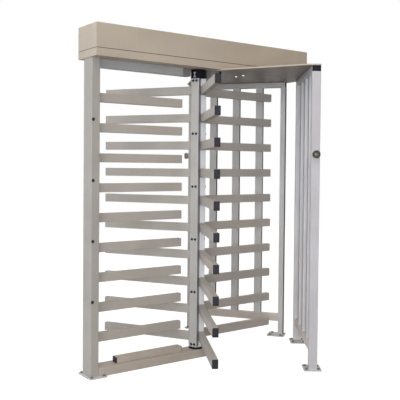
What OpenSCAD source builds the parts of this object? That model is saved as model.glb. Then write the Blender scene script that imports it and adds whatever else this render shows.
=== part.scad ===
// Full height turnstile with one three-wing rotor, a fixed comb and a passage between two guide panels.
// Origin: on the floor, on the rotor axis. +X runs along the head towards the passage, +Z is up.

/* [Arms] */
// Height of a comb or rotor arm
arm_h = 60; // [40:1:80]
// Width of a comb or rotor arm
arm_w = 40; // [24:1:48]
// Wall of the arm tubes
arm_wall = 2; // [1:0.5:4]
// Outer corner radius of the arm tubes
arm_corner = 3; // [2:0.5:6]
// Vertical distance between two arms
arm_pitch = 200; // [180:1:220]
// Least gap from the highest arm up to the column's top or the rail
arm_top_gap = 20; // [5:1:40]
// Height of the middle of the lowest rotor arm
wing_arm_z = 155; // [150:1:170]
// From the rotor axis to the tip of a rotor arm
wing_reach = 750; // [600:1:756]
// Height of the middle of the lowest comb arm
comb_arm_z = 254; // [250:1:260]
// From the rotor axis to the free end of the comb arms
comb_gap = 150; // [120:1:200]
// Thickness of an end plug's visible flange
plug_flange = 4; // [3:0.5:8]
// Depth of an end plug inside its tube
plug_depth = 18; // [10:1:30]

/* [Column] */
// Radial depth of an upright tube
upright_d = 60; // [50:1:64]
// From the axis to the inner face of an upright
upright_in = 16; // [15:0.5:18]
// From the axis to the arm face of an upright, along its wing
upright_front = 32; // [26:0.5:32]
// Wall of the upright tubes
upright_wall = 3; // [2:0.5:5]
// Height of the column's lower end
column_z0 = 80; // [76:1:90]
// Outer radius of the core tube
core_r = 13; // [11.5:0.5:14]
// Wall of the core tube
core_wall = 3; // [2:0.5:4]
// Gap between the rail under the head and the column's upper end
column_gap = 9; // [2:1:20]
// Height of a core block
core_block_h = 30; // [20:1:40]
// Levels of column screws
screw_levels = 6; // [3:1:8]
// From the column's end to its first screws
screw_inset = 17; // [16:1:40]
// Distance between the two screws of a pair
screw_pair = 25; // [16:1:30]
// Radius of the clamp collar and of the foot disc
collar_r = 54; // [50:1:58]
// Angle between the first wing and the head, at rest
wing_turn = 1.3; // [0:0.1:2]

/* [Left post] */
// From the rotor axis to the comb face of the left post
post_x = 830; // [800:1:860]
// Width of the left post along the head
post_w = 60; // [50:1:80]
// Depth of the left post across the head
post_d = 120; // [100:1:140]
// Wall of the left post
post_wall = 3; // [2:0.5:5]
// Foot plate: length along the head
foot_w = 130; // [124:1:150]
// Foot plate: length across the head
foot_d = 180; // [170:1:200]
// Thickness of all foot plates
foot_t = 8; // [6:0.5:12]
// Radius of the anchor holes
anchor_r = 6; // [5:0.5:7]

/* [Sill] */
// Width of the sill
sill_w = 120; // [100:1:140]
// Height of the sill
sill_h = 60; // [50:1:62]
// Wall of the sill
sill_wall = 3; // [2:0.5:5]
// From the rotor axis to the far end of the sill
sill_over = 84; // [70:1:100]
// Length of the floor bar that lies on the sill
floor_bar_l = 537; // [400:1:560]
// From the rotor axis to the floor bar
floor_bar_gap = 143; // [140:1:200]

/* [Head] */
// Width of the head
head_w = 266; // [260:1:300]
// Far end of the head, from the rotor axis
head_over = 974; // [973:1:1000]
// Overhang of the head past the left post
head_proud = 6; // [2:1:12]
// Height of the lower tray
tray_h = 51; // [40:1:60]
// Height of the upper hood
hood_h = 160; // [150:1:200]
// Seam between the tray and the hood
seam = 3; // [1:0.5:4]
// Sheet thickness of the tray, the hood and the roof
sheet = 2; // [1.5:0.5:3]
// Height of the rail under the head
rail_h = 58; // [50:1:70]
// Width of the rail under the head
rail_w = 60; // [50:1:70]
// Joint between the rail and its end block, from the axis
rail_joint = 155; // [140:1:180]
// Inner end of the left end block, from the axis
block_gap = 88; // [80:1:100]

/* [Passage] */
// Direction of the front guide panel, from the head's own direction
panel_deg = 53.8; // [52:0.1:56]
// From the rotor axis to the middle plane of a guide panel
panel_dist = 813; // [810:1:830]
// Distance between two bars of a guide panel
bar_pitch = 200; // [190:1:205]
// From the foot of the perpendicular to the middle of a panel
panel_mid = 76; // [70:1:80]
// Height of a guide panel
panel_h = 2100; // [2090:1:2110]
// Height of the middle of the lower rail
low_rail_z = 150; // [120:1:200]
// Length of a panel's foot plate
panel_foot_l = 140; // [130:1:150]
// Width of a panel's foot plate
panel_foot_w = 120; // [110:1:130]
// Side of the square of anchor holes
panel_hole_sq = 85; // [80:1:90]
// Depth of the roof plate, between the guide panels and the head
roof_t = 10; // [6:1:16]
// Roof overhang past the end of a guide panel
roof_over = 2; // [0:1:40]
// Width of the roof's outer end, across the guide panel
roof_end_w = 95; // [64:1:120]
// Height of the signal lamps
signal_z = 1492; // [1300:1:1600]
// Radius of the signal lamps
signal_r = 27; // [20:1:29]
// Depth of the signal lamps
signal_d = 38; // [20:1:50]
// Distance between the two spot lamps
spot_gap = 87; // [60:1:120]
// Distance of the spot lamps from the rotor axis
spot_x = 390; // [300:1:600]

/* [Mechanism] */
// Radius of the drive shaft
shaft_r = 15; // [12:0.5:16]
// Radius of the lock wheel
wheel_r = 80; // [70:1:82]
// Notches in the lock wheel
wheel_notches = 12; // [12:12:12]
// Depth of a notch
notch_d = 12; // [8:1:14]
// Width of a notch
notch_w = 14; // [10:1:18]
// Angle that a pawl swings to let go
pawl_deg = 13; // [12:0.5:15]
// Module of the drive gear
gear_m = 3; // [3:0.5:3]
// Teeth of the drive gear
gear_teeth = 60; // [60:12:60]
// Teeth of the motor pinion
pinion_teeth = 20; // [20:4:20]
// Radius of the foot pivot pin
pivot_r = 8; // [6:0.5:8]
// Running clearance of pins and shafts, on the radius
run_gap = 0.05; // [0.02:0.01:0.08]

/* [Hidden] */
$fn = 32;

paint = [0.72, 0.70, 0.67];
warm_paint = [0.66, 0.62, 0.57];
hood_paint = [0.74, 0.69, 0.61];
navy = [0.14, 0.13, 0.18];
black = [0.08, 0.08, 0.09];
steel = [0.62, 0.63, 0.65];
bronze = [0.60, 0.47, 0.28];

// Clearances that the pieces share
fit = 0.3;
rotor_gap = 2;
seat_gap = 0.2;
push_gap = 0.05;

// Heights that follow from the panels
roof_z = panel_h;
head_z = panel_h + roof_t;
rail_z = head_z - rail_h;
column_z1 = rail_z - column_gap;

// As many arms as the height takes
wing_arms = 1 + floor((column_z1 - arm_top_gap - arm_h / 2 - wing_arm_z) / arm_pitch);
comb_arms = 1 + floor((rail_z - arm_top_gap - arm_h / 2 - comb_arm_z) / arm_pitch);

// Upright tube of a wing, in the wing's own frame: x along the wing, y across it
upright_back = upright_d - upright_front;
upright_out = upright_in + arm_w;
upright_mid_x = upright_front - upright_d / 2;
column_h = column_z1 - column_z0;
screw_z = [for (i = [0:screw_levels - 1])
           column_z0 + screw_inset + i * (column_h - 2 * screw_inset) / (screw_levels - 1)];
screw_x = [upright_mid_x - screw_pair / 2, upright_mid_x + screw_pair / 2];
screw_shank = 3;
screw_head = 7;
screw_head_h = 4;
core_flange_r = 46;
core_flange_t = 8;
core_z0 = column_z0 - core_flange_t;

// Left post, comb and sill
post_out = post_x + post_w;
post_in_x = -post_x;
comb_len = post_x - comb_gap;
floor_bar_z = sill_h + arm_w / 2;
floor_bar_x0 = -floor_bar_gap - floor_bar_l;
foot_in = 18;
foot_x0 = -post_out - foot_in;
foot_hole_in_x = 20;
foot_hole_in_y = 15;
tube_corner = 4;

// Head
head_x0 = -post_out - head_proud;
head_l = head_over - head_x0;
head_mid = (head_over + head_x0) / 2;
tray_top = head_z + tray_h;
hood_z = tray_top + seam;
hood_top = hood_z + hood_h;
lip_h = 14;
beam_w = 40;
beam_h = 80;
beam_wall = 3;
beam_y = head_w / 2 - sheet - beam_w / 2 - 6;
beam_z0 = head_z + sheet;
beam_top = beam_z0 + beam_h;
beam_end = 12;
rail_stub = 96;
collar_z0 = column_z1;
collar_z1 = head_z - rotor_gap;
block_in = collar_r + rotor_gap + 3;

// Guide panels: x along the panel, y across it, before the turn by panel_deg
panel_bars = 3;
panel_half = bar_pitch * (panel_bars + 1) / 2 + arm_w / 2;
panel_x0 = panel_mid - panel_half;
panel_x1 = panel_mid + panel_half;
top_rail_z = panel_h - arm_w;
low_rail_top = low_rail_z + arm_h / 2;
low_rail_bot = low_rail_z - arm_h / 2;
foot_past = 12;
roof_start = rail_stub + 1;
roof_start_y = 158;
roof_side = 1;
roof_back_in = 36;
gland_x = 194;
spot_r = 11;
spot_drop = 6;
spot_lens_r = spot_r - 4 - fit / 3;

// Drive
plate_z = head_z + sheet;
plate_t = 8;
plate_top = plate_z + plate_t;
plate_x0 = -170;
plate_x1 = 170;
ball_r = 4.5;
bearing_h = 16;
bearing_in_r = shaft_r + 4;
bearing_out_r = shaft_r + 16;
bearing_z = plate_top + 5;
housing_r = 40;
housing_flange_r = 56;
housing_flange_t = 8;
housing_h = 26;
wheel_z = beam_top + 20;
wheel_t = 10;
gear_z = wheel_z + wheel_t + 14;
gear_t = 12;
gear_play = 0.12;
gear_pr = gear_m * gear_teeth / 2;
pinion_pr = gear_m * pinion_teeth / 2;
motor_x = gear_pr + pinion_pr + gear_play;
motor_r = 28;
motor_shaft_r = 6;
motor_flange_t = 6;
nut_z = gear_z + gear_t;
nut_h = 14;
shaft_top = nut_z + nut_h + 4;
pawl_x = -70;
pawl_y = wheel_r + 8;
pawl_arm = 40;
pawl_pin_r = 6;
pawl_hub_r = 13;
tail_pin_r = 3;
rod_r = 4;
rod_z = beam_top + 12;
release_deg = pawl_deg / 2;
tail_rest_y = pawl_y - pawl_arm * tan(release_deg);
bracket_t = 3;
solenoid_x = pawl_x - pawl_arm;
box_x0 = 640;
supply_x0 = 450;

// ---------- shared shapes ----------

// Rectangle with round corners, centred
module soft_rect(w, h, r) {
  square([w - 2 * r, h], center = true);
  square([w, h - 2 * r], center = true);
  for (x = [-1, 1], y = [-1, 1])
    translate([x * (w / 2 - r), y * (h / 2 - r)]) circle(r = r, $fn = 24);
}

// Section of a rectangular tube
module tube_section(w, h, wall, r) {
  difference() {
    soft_rect(w, h, r);
    square([w - 2 * wall, h - 2 * wall], center = true);
  }
}

// Tube that stands on z = 0
module tube_up(len, w, d, wall, r = arm_corner) {
  linear_extrude(height = len) tube_section(w, d, wall, r);
}

// Tube that runs along +x from x = 0, w across and h tall
module tube_along(len, w, h, wall, r = arm_corner) {
  rotate([90, 0, 90]) tube_up(len, w, h, wall, r);
}

// End plug of an arm tube that runs along +x and ends at x = 0, where its flange starts
module end_plug(w = arm_w, h = arm_h, wall = arm_wall, r = arm_corner) {
  rotate([90, 0, 90]) {
    linear_extrude(height = plug_flange) soft_rect(w, h, r);
    translate([0, 0, -plug_depth])
      linear_extrude(height = plug_depth)
        difference() {
          square([w - 2 * wall - 2 * fit, h - 2 * wall - 2 * fit], center = true);
          square([w - 2 * wall - 2 * fit - 6, h - 2 * wall - 2 * fit - 6], center = true);
        }
  }
}

// Ring or sleeve that stands on z = 0
module ring(r_out, r_in, h) {
  difference() {
    cylinder(r = r_out, h = h, $fn = 64);
    translate([0, 0, -1]) cylinder(r = r_in, h = h + 2, $fn = 64);
  }
}

// Cap screw along -z: its head stands on z = 0, its shank goes down
module cap_screw(len, r = screw_shank, head = screw_head, head_h = screw_head_h) {
  translate([0, 0, -len]) cylinder(r = r, h = len + head_h / 2, $fn = 24);
  difference() {
    cylinder(r = head, h = head_h, $fn = 24);
    translate([0, 0, head_h / 2]) cylinder(r = head * 0.5, h = head_h, $fn = 6);
  }
}

// Places its children on one wing of the rotor
module on_wing(i) {
  rotate([0, 0, 120 * i + wing_turn]) children();
}

// Places its children on a guide panel: x along it from the foot of the perpendicular, y outwards
module on_panel(side) {
  mirror([0, side > 0 ? 1 : 0, 0]) rotate([0, 0, panel_deg]) translate([0, -panel_dist, 0]) children();
}

// ---------- left post, comb and sill ----------

module base_sill() {
  color(paint)
    difference() {
      translate([-post_x, 0, sill_h / 2])
        tube_along(post_x + sill_over, sill_w, sill_h, sill_wall, tube_corner);
      translate([0, 0, sill_h - sill_wall - 1]) cylinder(r = pivot_flange_r, h = sill_wall + 2);
    }
}

pivot_flange_r = 20;

module sill_end_cap() {
  color(navy) translate([sill_over, 0, sill_h / 2])
    end_plug(sill_w, sill_h, sill_wall, tube_corner);
}

// Floor plate under the left post, cut out round the sill
module left_foot() {
  difference() {
    translate([foot_x0 + foot_w / 2, 0, 0])
      linear_extrude(height = foot_t) soft_rect(foot_w, foot_d, 6);
    for (x = [foot_x0 + foot_hole_in_x, foot_x0 + foot_w - foot_hole_in_x],
         y = [-1, 1] * (foot_d / 2 - foot_hole_in_y))
      translate([x, y, -1]) cylinder(r = anchor_r, h = foot_t + 2);
    translate([post_in_x, -sill_w / 2 - seat_gap, -1])
      cube([foot_w, sill_w + 2 * seat_gap, foot_t + 2]);
  }
}

module left_post() {
  color(paint)
    difference() {
      translate([-post_x - post_w / 2, 0, foot_t])
        tube_up(head_z - foot_t, post_w, post_d, post_wall, tube_corner);
      post_screw_places() translate([0, 0, -post_wall - 2]) cylinder(r = screw_shank + fit, h = post_wall + 4);
    }
}

post_screw_in = 12;
post_screws_n = 4;

// The four screws at the post's front and rear faces, near its outer edge
module post_screw_places() {
  for (s = [-1, 1], i = [0:post_screws_n - 1])
    translate([-post_out + post_screw_in, s * post_d / 2, comb_arm_z + arm_pitch * (2 * i + 1.25)])
      rotate([-90 * s, 0, 0]) children();
}

// Screws of the left post and of the hood
module frame_screws() {
  color(navy) post_screw_places() cap_screw(16);
  color(steel) hood_screw_places() cap_screw(6, 2.5, 5, 2.5);
}

module comb_arms() {
  color(warm_paint)
    for (i = [0:comb_arms - 1])
      translate([-post_x, 0, comb_arm_z + i * arm_pitch])
        tube_along(comb_len - plug_flange, arm_w, arm_h, arm_wall);
}

module comb_floor_bar() {
  color(warm_paint)
    translate([floor_bar_x0 + plug_flange, 0, floor_bar_z])
      tube_along(floor_bar_l - 2 * plug_flange, arm_h, arm_w, arm_wall);
}

module comb_end_plugs() {
  color(navy) {
    for (i = [0:comb_arms - 1])
      translate([-comb_gap - plug_flange, 0, comb_arm_z + i * arm_pitch]) end_plug();
    translate([-floor_bar_gap - plug_flange, 0, floor_bar_z]) end_plug(arm_h, arm_w);
    translate([floor_bar_x0 + plug_flange, 0, floor_bar_z]) rotate([0, 0, 180]) end_plug(arm_h, arm_w);
  }
}

// ---------- head ----------

module head_rail() {
  color(paint)
    translate([-post_x, 0, rail_z + rail_h / 2])
      tube_along(post_x - rail_joint, rail_w, rail_h, post_wall);
}

module rail_end_blocks() {
  color(paint)
    for (span = [[-rail_joint, -block_gap], [block_in, rail_stub]])
      translate([span[0], -rail_w / 2, rail_z]) cube([span[1] - span[0], rail_w, rail_h]);
}

// Open box of sheet metal that stands on z = 0, with its wall all round
module sheet_pan(l, w, h) {
  difference() {
    translate([0, 0, h / 2]) cube([l, w, h], center = true);
    translate([0, 0, h / 2 + sheet]) cube([l - 2 * sheet, w - 2 * sheet, h], center = true);
  }
}

module head_tray() {
  color(hood_paint)
    difference() {
      translate([head_mid, 0, head_z]) {
        sheet_pan(head_l, head_w, tray_h);
        // inner lip that the hood slips over
        difference() {
          translate([0, 0, tray_h - 6 + (lip_h + 6) / 2])
            cube([head_l - 2 * sheet, head_w - 2 * sheet, lip_h + 6], center = true);
          translate([0, 0, tray_h + lip_h / 2])
            cube([head_l - 4 * sheet, head_w - 4 * sheet, lip_h + 30], center = true);
        }
      }
      translate([0, 0, head_z - 1]) cylinder(r = shaft_step_r + 3, h = sheet + 2);
      hood_screw_places() translate([0, 0, -12]) cylinder(r = 2.5 + fit, h = 16);
    }
}

hood_screw_n = 5;

// Hood screws, on the rear side of the head only
module hood_screw_places() {
  for (i = [0:hood_screw_n - 1])
    translate([head_x0 + 80 + i * (head_l - 160) / (hood_screw_n - 1), head_w / 2, hood_z + lip_h / 2])
      rotate([-90, 0, 0]) children();
}

module head_hood() {
  color(hood_paint)
    difference() {
      translate([head_mid, 0, hood_top]) mirror([0, 0, 1]) sheet_pan(head_l, head_w, hood_h);
      hood_screw_places() translate([0, 0, -12]) cylinder(r = 2.5 + fit, h = 16);
    }
}

module head_beams() {
  color(steel)
    for (s = [-1, 1])
      translate([head_x0 + beam_end, s * beam_y, beam_z0 + beam_h / 2])
        tube_along(head_l - 2 * beam_end, beam_w, beam_h, beam_wall);
}

module drive_plate() {
  plate_w = 2 * (beam_y - beam_w / 2 - 1);
  color(steel)
    difference() {
      translate([plate_x0, -plate_w / 2, plate_z]) cube([plate_x1 - plate_x0, plate_w, plate_t]);
      translate([0, 0, plate_z - 1]) cylinder(r = shaft_step_r + 3, h = plate_t + 2);
      housing_bolt_places() translate([0, 0, -plate_t - 1]) cylinder(r = 4 + push_gap, h = plate_t + 2);
      translate([motor_x, 0, plate_z - 1]) motor_bolt_ring() cylinder(r = 2.5 + push_gap, h = plate_t + 2);
    }
}

// Bolts of the bearing housing, on the plate's top face
module housing_bolt_places() {
  for (a = [45:90:315])
    rotate([0, 0, a]) translate([housing_r + 8, 0, plate_top]) children();
}

module motor_bolt_ring() {
  for (a = [0:90:270]) rotate([0, 0, a + 45]) translate([motor_r + 7, 0, 0]) children();
}

// Bolts of the bearing housing and the motor
module drive_bolts() {
  color(steel) {
    housing_bolt_places() translate([0, 0, housing_flange_t]) cap_screw(plate_t + housing_flange_t, 4, 6.5, 5);
    translate([motor_x, 0, plate_top + motor_flange_t]) motor_bolt_ring() cap_screw(plate_t + motor_flange_t, 2.5, 4.2, 4);
  }
}

// ---------- roof and lamps ----------

// Corner of a guide panel in plan: along it and outwards from its middle plane
function plan_at(u, n) = [cos(panel_deg) * u + sin(panel_deg) * n, sin(panel_deg) * u - cos(panel_deg) * n];

roof_front = plan_at(panel_x0 - roof_over, panel_dist + arm_h / 2 + roof_side);
roof_end = plan_at(panel_x0 - roof_over, panel_dist + arm_h / 2 + roof_side - roof_end_w);
roof_back = [head_over, roof_back_in - head_w / 2];
roof_side_line = [[roof_start, -roof_start_y], roof_end, roof_front, roof_back];
roof_outline = concat(roof_side_line, [for (i = [3:-1:0]) [roof_side_line[i][0], -roof_side_line[i][1]]]);

module roof_plate() {
  color([0.62, 0.60, 0.56])
    translate([0, 0, roof_z])
      difference() {
        linear_extrude(height = roof_t) polygon(roof_outline);
        translate([0, 0, sheet])
          linear_extrude(height = roof_t) offset(delta = -sheet) polygon(roof_outline);
        for (s = [-1, 1])
          translate([spot_x, s * spot_gap / 2, -1]) cylinder(r = spot_r - 2, h = sheet + 2);
        translate([gland_x, 0, -1]) cylinder(r = 6, h = sheet + 2);
      }
}

module spot_places() {
  for (s = [-1, 1]) translate([spot_x, s * spot_gap / 2, roof_z]) children();
}

module spot_lamp_rims() {
  color("white")
    spot_places() {
      translate([0, 0, -2]) ring(spot_r, spot_r - 4, 2);
      translate([0, 0, -1]) ring(spot_r - 2 - fit, spot_r - 4, 7);
    }
}

module spot_lamp_lenses() {
  color([0.95, 0.95, 0.9])
    spot_places() {
      translate([0, 0, -spot_drop + 2]) cylinder(r = spot_lens_r, h = spot_drop + 2);
      translate([0, 0, -spot_drop]) cylinder(r1 = spot_lens_r - 2, r2 = spot_lens_r, h = 2);
    }
}

// ---------- guide panels ----------

// Upright tube between two rails or the foot plate: along, across, from z0 to z1
module panel_tube(x, along, across, z0, z1) {
  translate([x, 0, z0]) tube_up(z1 - z0, along, across, arm_wall);
}

module outer_post(side) {
  color(paint)
    on_panel(side)
      difference() {
        panel_tube(panel_x0 + arm_w / 2, arm_w, arm_h, foot_t, top_rail_z);
        translate([panel_x0 - 1, 0, signal_z]) rotate([0, 90, 0]) cylinder(r = 5, h = arm_wall + 2);
      }
}

module inner_post(side) {
  color(paint) on_panel(side) panel_tube(panel_x1 - arm_w / 2, arm_w, arm_h, foot_t, top_rail_z);
}

module guide_bars(side) {
  color(paint)
    on_panel(side)
      for (i = [-1:1]) panel_tube(panel_mid + i * bar_pitch, arm_h, arm_w, low_rail_top, top_rail_z);
}

module top_rail(side) {
  color(paint)
    on_panel(side)
      translate([panel_x0 + plug_flange, 0, top_rail_z + arm_w / 2])
        tube_along(2 * panel_half - 2 * plug_flange, arm_h, arm_w, arm_wall);
}

module low_rail(side) {
  color(paint)
    on_panel(side)
      translate([panel_x0 + arm_w, 0, low_rail_z])
        tube_along(2 * panel_half - 2 * arm_w, arm_w, arm_h, arm_wall);
}

// Foot plate of a guide post; way is +1 where its long side points along +x
module guide_foot(x, way) {
  mid = x - way * (arm_w / 2 + foot_past) + way * panel_foot_l / 2;
  translate([mid, 0, 0])
    difference() {
      linear_extrude(height = foot_t) soft_rect(panel_foot_l, panel_foot_w, 6);
      for (dx = [-1, 1], dy = [-1, 1])
        translate([dx * panel_hole_sq / 2, dy * panel_hole_sq / 2, -1])
          cylinder(r = anchor_r, h = foot_t + 2);
    }
}

module foot_plates() {
  color(paint) {
    left_foot();
    for (side = [-1, 1])
      on_panel(side) {
        guide_foot(panel_x0 + arm_w / 2, 1);
        guide_foot(panel_x1 - arm_w / 2, -1);
      }
  }
}

module guide_end_plugs() {
  color(navy)
    for (side = [-1, 1])
      on_panel(side) {
        translate([panel_x1 - plug_flange, 0, top_rail_z + arm_w / 2]) end_plug(arm_h, arm_w);
        translate([panel_x0 + plug_flange, 0, top_rail_z + arm_w / 2])
          rotate([0, 0, 180]) end_plug(arm_h, arm_w);
      }
}

// Round signal lamp on the outer end of a panel, its face towards -x
module at_signal(side) {
  on_panel(side) translate([panel_x0, 0, signal_z]) rotate([0, -90, 0]) children();
}

module signal_bodies() {
  color([0.70, 0.60, 0.54])
    for (side = [-1, 1])
      at_signal(side)
        difference() {
          union() {
            cylinder(r = signal_r - 3, h = signal_d, $fn = 48);
            translate([0, 0, signal_d - 10]) cylinder(r = signal_r, h = 10, $fn = 48);
          }
          translate([0, 0, signal_d - 5]) cylinder(r = signal_r - 4, h = 6, $fn = 48);
          translate([0, 0, 3]) cylinder(r = signal_r - 8, h = signal_d, $fn = 48);
          translate([0, 0, -1]) cylinder(r = 5, h = 6);
        }
}

module signal_lenses() {
  color([0.80, 0.82, 0.70])
    for (side = [-1, 1])
      at_signal(side)
        translate([0, 0, signal_d - 5]) cylinder(r = signal_r - 4 - fit / 3, h = 3.5, $fn = 48);
}

// ---------- rotor ----------

module column_uprights() {
  color(paint)
    for (i = [0:2])
      on_wing(i)
        difference() {
          translate([upright_mid_x, upright_in + arm_w / 2, column_z0])
            tube_up(column_h, upright_d, arm_w, upright_wall);
          column_screw_places() translate([0, 0, -arm_w - 2]) cylinder(r = screw_shank + fit, h = arm_w + 4);
        }
}

// Screw pairs on the outer side of one upright
module column_screw_places() {
  for (z = screw_z, x = screw_x)
    translate([x, upright_out, z]) rotate([-90, 0, 0]) children();
}

// Screws of the column and of its clamp collar
module column_screws() {
  color(navy) for (i = [0:2]) on_wing(i) column_screw_places() cap_screw(arm_w + 4);
  color(steel) translate([0, 0, collar_z0]) collar_screw_places() cap_screw(50);
}

module wing_arms_at(i) {
  color(warm_paint)
    on_wing(i)
      for (k = [0:wing_arms - 1])
        translate([upright_front, upright_in + arm_w / 2, wing_arm_z + k * arm_pitch])
          tube_along(wing_reach - plug_flange - upright_front, arm_w, arm_h, arm_wall);
}

module wing_end_plugs() {
  color(navy)
    for (i = [0:2])
      on_wing(i)
        for (k = [0:wing_arms - 1])
          translate([wing_reach - plug_flange, upright_in + arm_w / 2, wing_arm_z + k * arm_pitch])
            end_plug();
}

// Core tube with the blocks that the uprights are screwed to
module column_core() {
  color(steel)
    difference() {
      union() {
        translate([0, 0, core_z0]) cylinder(r = core_r, h = column_z1 - core_z0 + core_top, $fn = 48);
        translate([0, 0, core_z0]) cylinder(r = core_flange_r, h = core_flange_t, $fn = 64);
        for (z = screw_z)
          translate([0, 0, z - core_block_h / 2])
            rotate([0, 0, wing_turn - 90]) cylinder(r = 2 * (upright_in - fit / 2), h = core_block_h, $fn = 3);
      }
      translate([0, 0, core_z0 - 1])
        cylinder(r = core_r - core_wall, h = column_z1 - core_z0 + core_top + 2, $fn = 48);
      for (i = [0:2])
        on_wing(i) column_screw_places()
          translate([0, 0, -arm_w - 5]) cylinder(r = screw_shank + push_gap, h = 12);
    }
}

core_top = 28;

module clamp_collar() {
  color(black)
    translate([0, 0, collar_z0])
      difference() {
        cylinder(r = collar_r, h = collar_z1 - collar_z0, $fn = 64);
        translate([0, 0, -1]) cylinder(r = core_r + push_gap, h = core_top + 2, $fn = 48);
        translate([0, 0, core_top]) cylinder(r = shaft_r + push_gap, h = 60, $fn = 48);
        rotate([0, 0, collar_slot_deg]) translate([0, -1.5, -1]) cube([collar_r + 5, 3, 80]);
        collar_screw_places() {
          translate([0, 0, -60]) cylinder(r = screw_shank + fit, h = 60);
          cylinder(r = screw_head + fit, h = 30);
        }
      }
}

collar_slot_deg = 150;
collar_pitch = 24;
collar_screw_out = 30;
collar_screw_seat = 36;

// Two clamp screws across the slot, with their heads towards wing 3
module collar_screw_places() {
  for (s = [-1, 1])
    rotate([0, 0, collar_slot_deg]) translate([collar_screw_out, collar_screw_seat, (collar_z1 - collar_z0) / 2 + s * collar_pitch / 2])
      rotate([-90, 0, 0]) children();
}

disc_z0 = sill_h + 3;

module foot_disc() {
  color(black)
    translate([0, 0, disc_z0])
      difference() {
        ring(collar_r, core_r - core_wall, core_z0 - disc_z0);
        translate([0, 0, -1]) cylinder(r = bush_flange_r + push_gap, h = bush_flange_t + 1, $fn = 48);
      }
}

bush_flange_r = 18;
bush_flange_t = 2;

// Flanged bush: it turns on the pin, and its flange runs on the pin's shoulder
module pivot_bush() {
  color(bronze)
    translate([0, 0, disc_z0])
      difference() {
        union() {
          cylinder(r = core_r - core_wall - push_gap, h = 55, $fn = 48);
          cylinder(r = bush_flange_r, h = bush_flange_t, $fn = 48);
        }
        translate([0, 0, -1]) cylinder(r = pivot_r + run_gap, h = 60, $fn = 48);
      }
}

module pivot_pin() {
  color(steel)
    translate([0, 0, sill_wall]) {
      cylinder(r = pivot_flange_r - fit, h = disc_z0 - sill_wall - run_gap, $fn = 48);
      cylinder(r = pivot_r, h = disc_z0 - sill_wall + 50, $fn = 48);
    }
}

// ---------- drive ----------

shaft_step_r = shaft_r + 3;

// Shaft with the shoulder that the bearing sits on
module drive_shaft() {
  color(steel) {
    translate([0, 0, collar_z0 + core_top + 1])
      cylinder(r = shaft_r, h = shaft_top - collar_z0 - core_top - 1, $fn = 48);
    translate([0, 0, collar_z1]) cylinder(r = shaft_step_r, h = bearing_z - collar_z1, $fn = 48);
  }
}

ball_circle = (bearing_in_r + bearing_out_r - 4) / 2;

// Groove of the ball bearing, cut from both rings
module ball_groove() {
  rotate_extrude($fn = 48) translate([ball_circle, bearing_h / 2]) circle(r = ball_r + run_gap, $fn = 24);
}

module bearing_inner() {
  color(steel)
    translate([0, 0, bearing_z])
      difference() {
        ring(bearing_in_r, shaft_r + push_gap, bearing_h);
        ball_groove();
      }
}

module bearing_outer() {
  color(steel)
    translate([0, 0, bearing_z]) {
      difference() {
        ring(bearing_out_r, bearing_out_r - 4, bearing_h);
        ball_groove();
      }
      for (a = [0:40:320])
        rotate([0, 0, a]) translate([ball_circle, 0, bearing_h / 2]) sphere(r = ball_r, $fn = 24);
    }
}

module bearing_housing() {
  color([0.45, 0.46, 0.48])
    difference() {
      translate([0, 0, plate_top]) {
        cylinder(r = housing_flange_r, h = housing_flange_t, $fn = 64);
        cylinder(r = housing_r, h = housing_h, $fn = 64);
      }
      translate([0, 0, bearing_z]) cylinder(r = bearing_out_r + push_gap, h = housing_h, $fn = 64);
      translate([0, 0, plate_top - 1]) cylinder(r = bearing_out_r - 4, h = 10, $fn = 64);
      housing_bolt_places() translate([0, 0, -1]) cylinder(r = 4 + push_gap, h = 12);
    }
}

module lock_wheel() {
  color(steel)
    translate([0, 0, wheel_z])
      difference() {
        union() {
          cylinder(r = wheel_r, h = wheel_t, $fn = 96);
          translate([0, 0, -12]) cylinder(r = shaft_r + 13, h = 12, $fn = 48);
          translate([0, 0, bearing_z + bearing_h - wheel_z])
            cylinder(r = bearing_in_r, h = wheel_z - bearing_z - bearing_h, $fn = 48);
        }
        translate([0, 0, -100]) cylinder(r = shaft_r + push_gap, h = 140, $fn = 48);
        for (i = [0:wheel_notches - 1])
          rotate([0, 0, 360 / wheel_notches * i])
            translate([wheel_r - notch_d, -notch_w / 2, -1]) cube([notch_d + 5, notch_w, wheel_t + 2]);
        for (i = [0:5])
          rotate([0, 0, 60 * i + 30]) translate([48, 0, -1]) cylinder(r = 11, h = wheel_t + 2);
      }
}

// Involute of a circle of radius r at roll angle t in degrees
function involute(r, t) = [r * (cos(t) + t * PI / 180 * sin(t)), r * (sin(t) - t * PI / 180 * cos(t))];
function turned(p, a) = [p[0] * cos(a) - p[1] * sin(a), p[0] * sin(a) + p[1] * cos(a)];

// Outline of an involute spur gear, pressure angle 20 degrees
function gear_outline(teeth, m, play) =
  let (pr = m * teeth / 2, br = pr * cos(20), tip = pr + m, root = pr - 1.25 * m,
       start = max(br, root),
       t_at = function (r) sqrt(max(0, pow(r / br, 2) - 1)) * 180 / PI,
       t_pitch = t_at(pr),
       half = 90 / teeth - play / pr * 90 / PI + (t_pitch - atan(t_pitch * PI / 180)),
       steps = 4)
  [for (k = [0:teeth - 1])
     let (a = 360 / teeth * k)
     each concat(
       [turned([root, 0], a - half - 1.2 * min(1, 20 / teeth))],
       [for (s = [0:steps]) let (t = t_at(start) + (t_at(tip) - t_at(start)) * s / steps)
          turned(involute(br, t), a - half)],
       [for (s = [steps:-1:0]) let (t = t_at(start) + (t_at(tip) - t_at(start)) * s / steps,
            p = involute(br, t)) turned([p[0], -p[1]], a + half)],
       [turned([root, 0], a + half + 1.2 * min(1, 20 / teeth))])];

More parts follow.
